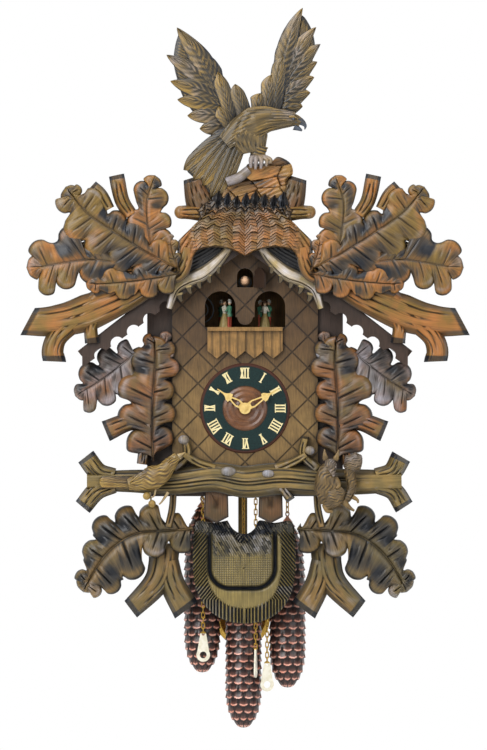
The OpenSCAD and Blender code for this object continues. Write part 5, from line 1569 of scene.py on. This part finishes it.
@dataclass
class Dancers:
    """Couples on the turntable, each a dancer in a bell skirt and a partner in a coat.

    Attributes:
        axis_y: Depth of the turntable's axis.
        floor_z: Top of the turntable.
        ring: Distance of a couple from the axis.
        first: Angle of the first couple, in degrees.
        count: Number of couples.
        height: Height of a figure.
    """
    axis_y: float = -87.8
    floor_z: float = -62.0
    ring: float = 37.0
    first: float = -39.3
    count: int = 4
    height: float = 38.0

    def figure(self, skirt: bool) -> list[Surface]:
        """One figure standing at the origin and facing along -Y, built of lathe forms."""
        h = self.height
        look = Part.CREAM if skirt else Part.GREEN
        forms = []
        if skirt:
            pleat = lambda u, v: 0.35 * np.sin(TURN * v * 12) * (1 - u)
            forms += [turned([(7.2, 0), (7.0, .06 * h), (5.6, .24 * h), (3.0, .46 * h),
                              (2.5, .52 * h)], (0, 0, 0), 48, tone=Part.OLIVE.value, rows=18,
                             relief=pleat),
                      turned([(0, .001), (7.2, 0)], (0, 0, 0), 24, tone=Part.OLIVE.value)]
        else:
            for x in (-1.7, 1.7):
                forms.append(turned([(0, .0), (1.7, .01 * h), (1.6, .06 * h), (1.5, .25 * h),
                                     (2.0, .46 * h), (0, .5 * h)], (x, 0, 0), 18,
                                    tone=Part.RED.value, rows=14))
                forms.append(ball((x, -1.2, 1.0), (1.5, 2.4, 1.1), Part.BLACK.value, 8, 12))
            forms.append(turned([(3.9, .40 * h), (3.4, .46 * h), (2.9, .54 * h)], (0, 0, 0), 24,
                                tone=look.value, rows=8))
        forms += [turned([(2.4, .50 * h), (2.9, .58 * h), (3.6, .68 * h), (3.5, .735 * h),
                          (1.3, .775 * h), (1.2, .80 * h), (0, .81 * h)], (0, 0, 0), 28,
                         tone=look.value, rows=20),
                  ball((0, 0, .87 * h), (2.25, 2.3, 2.75), Part.SKIN.value, 12, 18),
                  ball((0, 0.55, .895 * h), (2.5, 2.35, 2.5),
                       (Part.HAIR if skirt else Part.WHITE).value, 12, 18)]
        if skirt:
            forms.append(ball((0, 2.2, .93 * h), (1.2, 1.2, 1.2), Part.HAIR.value, 8, 12))
        else:
            forms.append(turned([(0, .935 * h), (3.5, .935 * h), (3.2, .95 * h), (1.9, .955 * h),
                                 (1.5, 1.0 * h), (0, 1.0 * h)], (0, 0, 0), 22,
                                tone=Part.WHITE.value))
        for s in (-1, 1):
            forms += [rounded([(s * 3.4, .71 * h, 1.25, 1.25), (s * 5.0, .60 * h, 1.1, 1.1, 1.4),
                               (s * 4.2, .60 * h, .7, .7, 4.4)], 0, 12, 12, look.value),
                      ball((s * 4.1, -4.8, .60 * h), (.85, .85, .85), Part.SKIN.value, 6, 10)]
        return forms

    def couples(self) -> list[Surface]:
        """All couples on the turntable."""
        forms = []
        for k in range(self.count):
            around = math.radians(self.first + 360 * k / self.count)
            place = np.array([self.ring * math.cos(around),
                              self.axis_y + self.ring * math.sin(around), self.floor_z])
            c, s = math.cos(around + math.pi / 2), math.sin(around + math.pi / 2)
            spin = np.array([[c, -s, 0], [s, c, 0], [0, 0, 1]])
            for skirt, offset, face in ((True, -4.2, -1.0), (False, 4.2, 1.0)):
                quarter = np.array([[0, face, 0], [-face, 0, 0], [0, 0, 1]])
                for form in self.figure(skirt):
                    form.points = (form.points @ quarter.T + [offset, 0, 0]) @ spin.T + place
                    forms.append(form.turned_out())
        return forms

    def table(self) -> Surface:
        """Turntable disc with a beaded edge, its hub and its pin."""
        return turned([(0, -26), (2, -26), (2, -15), (5, -13.6), (5, -4), (44.5, -4), (45, -3.2),
                       (45, -1.8), (44.2, 0), (0, 0)], (0, self.axis_y, self.floor_z), 96)

    def dress(self, kit: "Finishes") -> None:
        """Make the couples and the turntable."""
        make_piece("dancing_couples", self.couples(), kit.figures, "carousel", ["carousel"])
        make_piece("dancers_turntable", [self.table()], kit["ink"], "carousel")


@dataclass
class Cuckoo:
    """The cuckoo in its opening.

    Attributes:
        front_y: Depth of the lattice panel's back plane.
        axis_z: Height of the bird's axis.
    """
    front_y: float = -144.0
    axis_z: float = -0.5

    def bird(self) -> list[Surface]:
        """Breast, head, open beak and eyes, on its stem and push slide."""
        y, z = self.front_y, self.axis_z
        body = turned([(0, 30), (3.5, 27), (6.2, 18), (6.3, 12), (5.2, 7), (4.6, 4), (3, 1.6),
                       (0, .6)], (0, y, z), 40, "Y", Part.SKIN.value, 40,
                      lambda u, v: .28 * np.sin(60 * u + 4 * np.sin(18 * np.pi * v)))
        body.points[:, 1] = 2 * y - body.points[:, 1]
        head = ball((0, y + 4.0, z + 1.6), (4.8, 4.6, 5.0), Part.SKIN.value)
        mouth = ball((0, y + 0.9, z + 1.0), (1.9, 1.3, 2.1), .67)
        upper = rounded([(0, z + 3.0, 2.0, 1.0, -1.6), (0, z + 3.6, .5, .4, 0.1)], y, 8, 12, .17)
        lower = rounded([(0, z - 0.8, 1.8, .9, -1.6), (0, z - 1.4, .5, .4, -0.1)], y, 8, 12, .17)
        eyes = [ball((s * 3.0, y + 1.4, z + 3.6), (.8, .6, .8), Part.BLACK.value, 8, 10)
                for s in (-1, 1)]
        stem = turned([(0, -9), (1.5, -9), (1.5, -3), (0, -3)], (0, y + 15, z), 12,
                      tone=Part.HAIR.value)
        slide = turned([(0, 1.0), (5.6, .8), (5.8, -.8), (0, -1.0)], (0, y + 21, z - 11.2), 30,
                       tone=Part.HAIR.value)
        slide.points = (slide.points - [0, y + 21, 0]) * [1, 1.75, 1] + [0, y + 21, 0]
        for form in (body, upper, lower, slide):
            form.turned_out()
        return [body, head, mouth, upper, lower, *eyes, stem, slide]

    def dress(self, kit: "Finishes") -> None:
        """Make the bird."""
        make_piece("cuckoo_figure", self.bird(), kit.figures, "cuckoo", ["cuckoo_bird"])


# ------------------------------------------------------------------ finishes of the frame's nodes

# Carved finishes. The colours are the face, its warm patches, its painted grey sheen, the stain
# and painted shade on slopes and the stain and painted shade in the cuts.
WOODS = {
    # Top leaves: amber to olive stain, with a painted grey-blue sheen where the lobes catch the
    # light.
    "leaf": CarvedWood("stained_limewood_leaf", "#A26A32", "#79602C", "#9EA0AA", "#453828",
                       "#12161F", patch_mm=44),
    # Leaves beside the dial: browner, with more smoke in the stain.
    "tall": CarvedWood("shaded_limewood_leaf", "#8C5C32", "#6C5833", "#A0A2AE", "#3C3430",
                       "#10141C", patch_mm=40),
    # Eave branches and crown: warm amber, hardly any grey.
    "amber": CarvedWood("amber_limewood", "#A86D36", "#80642D", "#96928A", "#4E3B24", "#12151C",
                        patch_mm=46),
    # Rock: the lightest, orange stain on chopped faces.
    "rock": CarvedWood("orange_limewood_rock", "#B5793E", "#96703A", "#B0B0B0", "#5E4428",
                       "#191A1E", patch_mm=30),
    # Lower leaves and forks: olive brown under deep shade.
    "olive": CarvedWood("olive_limewood", "#86693A", "#6C5D38", "#A2A4B0", "#38332C", "#0E131C",
                        patch_mm=40),
    # Cross branch: golden bark between nearly black gouges.
    "bark": CarvedWood("bark_limewood", "#8C733F", "#75643A", "#A4A8B8", "#3C3528", "#121823",
                       patch_mm=26),
    # Nest plate: yellow-green wood, with a painted blue-grey sheen on the mound.
    "moss": CarvedWood("moss_limewood", "#8C7A44", "#77683A", "#8E94A8", "#2F2D24", "#0E1522",
                       patch_mm=40),
    # Eagle: dull gold strokes in smoky brown.
    "feather": CarvedWood("feather_limewood", "#96783A", "#7A6640", "#A09CA6", "#3A3428",
                          "#141924", patch_mm=30, depth=.25),
    # Gable arches: bleached wood with a painted silver sheen.
    "pale": CarvedWood("pale_limewood", "#B8A170", "#A08C5C", "#E0DCE2", "#5C4E36", "#201E1C",
                       patch_mm=26),
    # Songbird: fawn, the gouge strokes close together.
    "fawn": CarvedWood("fawn_limewood", "#B3944E", "#98783A", "#C0B49A", "#564326", "#191A1C",
                       patch_mm=14),
    # Squirrel: mouse brown, the gouge strokes close together.
    "fur": CarvedWood("fur_limewood", "#8E7242", "#6E5938", "#B0ACB4", "#3A2F20", "#12151C",
                      patch_mm=14),
    # Beak, chips and gable ground: stained black, with a painted slate sheen.
    "ink": CarvedWood("ebonised_limewood", "#3A3630", "#2A2A2E", "#5A6576", "#1C1D22", "#0C1016",
                      patch_mm=18),
    # Straps and crown stubs: sawn wood, one even brown coat.
    "plain": CarvedWood("plain_limewood", "#75502E", "#5E4A2C", "#7C7464", "#3C2C1A", "#17181C",
                        patch_mm=30),
    # Weights: brown lacquer on cast iron, rubbed to pale copper on the scales' rims.
    "cone": CarvedWood("cast_iron_cone", "#FFC4B0", "#E89C84", "#FFF0EC", "#80554A", "#241A1A",
                       patch_mm=12, rough=.28, depth=.1),
}


def trains(name: str) -> tuple[str, ...]:
    """A node's name for each of the three trains."""
    return tuple(f"{name}_{side.value[0]}" for side in Side)


# Finishes of the nodes that the frame itself shows.
NODE_LOOKS = {
    # Case boards: two coats of dark stain, satin, grain upright.
    CarvedWood("dark_stained_limewood", "#3E2C22", "#36261C", "#3A2A1E", "#2A1E16", "#15110E",
               Grain.UPRIGHT, 40, .45, .4, False):
        ("case_front", "bargeboards", "attic_shelf", "cuckoo_door"),
    # Roof boards: the same stain, redder, grain along the eave.
    CarvedWood("roof_limewood", "#3C2A1E", "#4A3222", "#3C2A1E", "#241A14", "#120E0C",
               Grain.LEVEL, 30, .45, .5, False): ("roof_left", "roof_right"),
    # Case behind: bare spruce under one coat of clear varnish.
    CarvedWood("plain_spruce", "#A8804E", "#96703F", "#A8804E", "#6A4C2C", "#3A2A1C",
               Grain.UPRIGHT, 50, .6, .3, False):
        ("side_board_left", "side_board_right", "case_floor", "back_board", "back_door",
         "bellows_tubes"),
    # Pendulum rod: olive stain, grain along the rod.
    CarvedWood("pendulum_limewood", "#6E6232", "#5C522A", "#6E6232", "#3A2A1A", "#1C1712",
               Grain.UPRIGHT, 30, .42, .4, False): ("pendulum_rod",),
    # Movement and bob: rolled brass sheet, slightly clouded.
    Painted("rolled_brass", "#D2AC58", "#B8903E", .28, 1.0, 2.0, .05):
        ("pendulum_bob", "movement_frame", *trains("great_wheel"), "anchor"),
    # Chains: brassed steel wire, bright.
    Painted("brassed_steel_wire", "#DDB85E", "#C49A44", .3, 1.0, 1.0, .05):
        (*trains("weight_chain"), "inner_chains"),
    # Hanger, gong and music: zinc-plated steel, grey and even.
    Painted("zinc_plated_steel", "#9A9DA0", "#84878A", .35, 1.0, 2.0, .06):
        ("hanger_plate", "gong", "music_movement"),
    # Numerals: ivory-coloured plastic; hands: the same with a golden tint.
    Painted("ivory_plastic", "#F0E2B0", "#E4D39A", .35, 0, 6.0, .04, .2): ("numerals",),
    Painted("ivory_plastic_hand", "#E6C880", "#D6B468", .35, 0, 4.0, .04, .2):
        ("hour_hand", "minute_hand"),
    # Bellows: kid leather, matt and finely creased.
    Painted("kid_leather_bellows", "#D8C8A8", "#C4B28E", .7, 0, 3.0, .3):
        ("bellows_left", "bellows_right"),
}


class Finishes:
    """Every material of the clock; the carved ones are read by their key in WOODS."""

    def __init__(self) -> None:
        """Build the shared materials."""
        self.woods = {key: wood.build() for key, wood in WOODS.items()}
        self.figures = self.painted_figures()

    def __getitem__(self, key: str) -> Material:
        """The carved finish of that key."""
        return self.woods[key]

    def painted_figures(self) -> Material:
        """Brush-painted softwood figures: the tone attribute picks a flat colour."""
        material = Painted("painted_softwood_figures", "#FFFFFF", "#FFFFFF", .5).build()
        add, shader, _ = opened(material)
        tone = add("Attribute", out="Fac", attribute_name="tone")
        colours = {Part.CREAM: "#FFF8E4", Part.SKIN: "#F2C49C", Part.HAIR: "#5A4028",
                   Part.OLIVE: "#B09A60", Part.GREEN: "#5C9A78", Part.RED: "#C4543C",
                   Part.BLACK: "#1A1718", Part.WHITE: "#E8E4DA"}
        paint = add("ValToRGB", {"Fac": tone}, stops=[
            (max(part.value - 0.06, 0), colour) for part, colour in colours.items()])
        paint.node.color_ramp.interpolation = "CONSTANT"
        worn = add("TexNoise", {"Vector": add("TexCoord", out="Object"), "Scale": 420.0,
                                "Detail": 3.0})
        fade = add("MapRange", {"Value": worn, 1: .35, 2: .7, 3: .82, 4: 1.06})
        set_inputs(shader, {"Base Color": shaded(add, paint, fade)})
        return material

    def dial_wood(self) -> Material:
        """Black-green chapter ring round a turned walnut centre, by distance from the middle.

        Turning leaves rings 1.4 mm apart in the centre, and the grain crosses them.
        """
        centre_z, ring_step, centre_r, ring_r = -.167, .0014, .0293, .0551
        material = CarvedWood("dial_wood", "#8A5A36", "#6E4428", "#8A5A36", "#4A2A18", "#1A1410",
                              Grain.LEVEL, 20, .3, .2, False).build()
        add, shader, wood = opened(material)
        where = add("TexCoord", out="Object")
        placed = add("Mapping", {"Vector": where, "Location": (0, 0, -centre_z),
                                 "Scale": (1, 0, 1)})
        reach = add("VectorMath", {0: placed}, "Value", operation="LENGTH")
        wave = add("Math", {0: reach, 1: round(TURN / ring_step)}, operation="MULTIPLY")
        ring = add("Math", {0: wave}, operation="SINE")
        dark = add("MapRange", {"Value": ring, 1: -1.0, 2: 1.0, 3: .42, 4: 1.15})
        speck = add("TexNoise", {"Vector": where, "Scale": 500.0})
        black = add("ValToRGB", {"Fac": speck}, stops=((.4, "#0B2122"), (.6, "#122E2C")))
        outside, rim = (add("Math", {0: reach, 1: r}, operation="GREATER_THAN")
                        for r in (centre_r, ring_r))
        face = add("Mix", {0: outside, 6: shaded(add, wood, dark), 7: black}, **COLOURS)
        face = add("Mix", {0: rim, 6: face, 7: linear("#4A2A20")}, **COLOURS)
        set_inputs(shader, {"Base Color": face})
        return material

    def lattice_wood(self) -> Material:
        """Golden panel wood, stained darker in the diamond grooves, and darker towards the gable.

        The two families of grooves lie at 45 degrees, 29 mm apart, one crossing at z -32 mm.
        """
        material = CarvedWood("lattice_limewood", "#84683A", "#735A31", "#76572F", "#3A2A1A",
                              "#1C1712", Grain.UPRIGHT, 30, .5, .4, False).build()
        add, shader, wood = opened(material)
        where = add("TexCoord", out="Object")
        laid = add("Mapping", {"Vector": where, "Location": (0, 0, .032), "Scale": (1, 0, 1)})
        away = []
        for turn in (math.pi / 4, -math.pi / 4):
            spun = add("VectorMath", {0: laid, 1: (math.cos(turn), 0, math.sin(turn))}, "Value",
                       operation="DOT_PRODUCT")
            part = add("Math", {0: spun, 1: 1000 / 29.0}, operation="MULTIPLY")
            away.append(add("Math", {0: part, 1: 0.5}, operation="PINGPONG"))
        near = add("Math", dict(enumerate(away)), operation="MINIMUM")
        groove = add("MapRange", {"Value": near, 1: .02, 2: .06, 3: .58, 4: 1.0})
        waver = add("TexNoise", {"Vector": where, "Scale": 22.0})
        waver = add("Math", {0: waver, 1: 0.09}, operation="MULTIPLY")
        level = add("Math", {0: add("SeparateXYZ", {"Vector": where}, "Z"), 1: waver},
                    operation="ADD")
        gable = add("MapRange", {"Value": level, 1: -.13, 2: -.03, 3: 1.0, 4: .33})
        red = add("Math", {0: gable, 1: .85}, operation="POWER")
        levels = [add("Math", {0: groove, 1: fade}, operation="MULTIPLY")
                  for fade in (red, gable, gable)]
        set_inputs(shader, {"Base Color": shaded(add, wood, *levels)})
        return material

    def ribbed(self, material: Material) -> None:
        """Darken a wood with upright grooves 11.15 mm apart, below its rail at z -66 mm."""
        pitch, first = 11.15, -42.9
        add, shader, wood = opened(material)
        where = add("TexCoord", out="Object")
        x, z = (add("SeparateXYZ", {"Vector": where}, axis) for axis in "XZ")
        part = add("Math", {0: x, 1: 1000 / pitch}, operation="MULTIPLY")
        part = add("Math", {0: part, 1: -first / pitch}, operation="ADD")
        away = add("Math", {0: part, 1: 0.5}, operation="PINGPONG")
        rib = add("MapRange", {"Value": away, 1: .02, 2: .22, 3: .45, 4: 1.05})
        rail = add("Math", {0: z, 1: -.066}, operation="GREATER_THAN")
        light = add("Math", {0: rib, 1: rail}, operation="MAXIMUM")
        set_inputs(shader, {"Base Color": shaded(add, wood, light)})

    def tagged_chain(self, name: str, tag_top: float) -> Material:
        """Brassed chain above the height tag_top, ivory plastic tag below it."""
        material = Painted(f"chain_and_ivory_tag_{name}", "#DDB85E", "#C49A44", .3, 1.0, 1.0,
                           .05).build()
        add, shader, brass = opened(material)
        where = add("TexCoord", out="Object")
        height = add("SeparateXYZ", {"Vector": where}, "Z")
        below = add("Math", {0: height, 1: tag_top * MM}, operation="LESS_THAN")
        clouds = add("TexNoise", {"Vector": where, "Scale": 160.0})
        ivory = add("ValToRGB", {"Fac": clouds}, stops=((.4, "#F2EDDC"), (.6, "#E6DFC8")))
        set_inputs(shader, {
            "Base Color": add("Mix", {0: below, 6: brass, 7: ivory}, **COLOURS),
            "Metallic": add("Math", {0: 1.0, 1: below}, operation="SUBTRACT")})
        return material

    def dress_nodes(self) -> None:
        """Give every node of the frame that stays in sight its material."""
        looks = {spec.build(): nodes for spec, nodes in NODE_LOOKS.items()}
        rail = CarvedWood("balcony_limewood", "#936E3C", "#7E5F33", "#A87C42", "#4A3520",
                          "#1C1712", Grain.UPRIGHT, 12, .42, .4, False).build()
        self.ribbed(rail)
        looks |= {rail: ("balcony",), self.lattice_wood(): ("lattice_panel",),
                  self.dial_wood(): ("dial",)}
        for name, _, _, tag_top in (side.value for side in Side):
            looks[self.tagged_chain(name, tag_top)] = (f"ring_chain_{name}",)
        for material, names in looks.items():
            for name in names:
                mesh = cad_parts[name].data
                mesh.materials.clear()
                mesh.materials.append(material)
                mesh.polygons.foreach_set("material_index", np.zeros(len(mesh.polygons), np.int32))
                LOG.info("%s dressed in %s", name, material.name)


# ------------------------------------------------------------------ room, lights and camera

@dataclass
class Studio:
    """White room, soft lamps and the camera.

    Attributes:
        distance: Camera's distance from the wall plane.
        middle: x and z that the camera looks at.
        height: Height of the view at the front of the clock.
        front: Distance of the clock's front from the wall plane.
    """
    distance: float = 7.0
    middle: Point = (-0.002, -0.1235)
    height: float = 0.975
    front: float = 0.18

    def backdrop(self) -> None:
        """Pale floor and backdrop that the camera and reflections see as white.

        From behind the backdrop is clear, so that the clock's back can be looked at.
        """
        material = new_material("white_paper_backdrop")
        add, shader, _ = opened(material)
        set_inputs(shader, {"Base Color": linear("#F2F2F2"), "Roughness": 0.9})
        glow = add("Emission", {"Color": (1, 1, 1, 1), "Strength": 1.0})
        rays = [add("LightPath", out=f"Is {kind} Ray")
                for kind in ("Camera", "Glossy", "Transmission")]
        seen = add("Math", {0: rays[0], 1: rays[1]}, operation="MAXIMUM")
        seen = add("Math", {0: seen, 1: rays[2]}, operation="MAXIMUM")
        mixed = add("MixShader", {0: seen, 1: shader.outputs[0], 2: glow})
        open_back = add("MixShader", {0: add("NewGeometry", out="Backfacing"), 1: mixed,
                                      2: add("BsdfTransparent")})
        set_inputs(material.node_tree.nodes["Material Output"], {"Surface": open_back})
        # Matt pale floor paint with a faint mottle.
        floor = Painted("pale_floor_paint", "#ECECEA", "#E6E6E4", .8, 0, 60.0, .02).build()
        left, right, near, wall, low, high = -4, 4, -4, .6, -1.1, 4
        for name, finish, corners in (
                ("wall_backdrop", material, [(left, wall, low), (right, wall, low),
                                             (right, wall, high), (left, wall, high)]),
                ("pale_floor", floor, [(left, near, low), (right, near, low),
                                       (right, wall, low), (left, wall, low)])):
            mesh = bpy.data.meshes.new(name)
            mesh.from_pydata(corners, [], [(0, 1, 2, 3)])
            mesh.materials.append(finish)
            sheet = bpy.data.objects.new(name, mesh)
            bpy.context.scene.collection.objects.link(sheet)

    def lamps(self) -> None:
        """Large soft lamps from above and both sides, and a white world."""
        world = bpy.data.worlds.new("white_room")
        bpy.context.scene.world = world
        world.use_nodes = True
        strength = {"Value": add_node(world.node_tree, "LightPath", out="Is Camera Ray"), 3: 0.28,
                    4: 1.0}
        set_inputs(world.node_tree.nodes["Background"], {
            "Color": (1, 1, 1, 1), "Strength": add_node(world.node_tree, "MapRange", strength)})
        for name, place, size, power in (("key", (-1.3, -2.2, 1.5), 1.4, 46.0),
                                         ("fill", (1.9, -2.2, 0.3), 1.6, 18.0),
                                         ("front", (-1.3, -2.3, 0.35), 0.8, 16.0),
                                         ("top", (0.2, -0.9, 1.9), 1.2, 14.0)):
            lamp = bpy.data.lights.new(name, "AREA")
            lamp.size, lamp.energy = size, power
            holder = bpy.data.objects.new(name, lamp)
            holder.location = place
            aim = Vector((0, -0.15, -0.12)) - Vector(place)
            holder.rotation_euler = aim.to_track_quat("-Z", "Y").to_euler()
            bpy.context.scene.collection.objects.link(holder)

    def camera(self) -> None:
        """Long lens, level with the clock's middle, so that the clock fills the view."""
        lens = bpy.data.cameras.new("camera")
        lens.sensor_fit = "VERTICAL"
        film = lens.sensor_height = lens.sensor_width = 24.0
        lens.lens = film * (self.distance - self.front) / self.height
        lens.clip_end = 50
        camera = bpy.data.objects.new("camera", lens)
        camera.location = (self.middle[0], -self.distance, self.middle[1])
        camera.rotation_euler = (math.pi / 2, 0, 0)
        bpy.context.scene.collection.objects.link(camera)
        bpy.context.scene.camera = camera
        bpy.context.scene.view_settings.view_transform = "Standard"


def main() -> None:
    """Build the clock class by class and report each piece."""
    logging.basicConfig(level=logging.INFO, format="%(message)s")
    studio = Studio()
    studio.camera()
    studio.backdrop()
    studio.lamps()
    kit = Finishes()
    kit.dress_nodes()
    for part in (Foliage(), Eagle(), Crown(), House(), NestPlate(), Animals(), Weights(),
                 Dancers(), Cuckoo()):
        part.dress(kit)
        LOG.info("%s done", type(part).__name__)


if __name__ == "__main__":
    main()
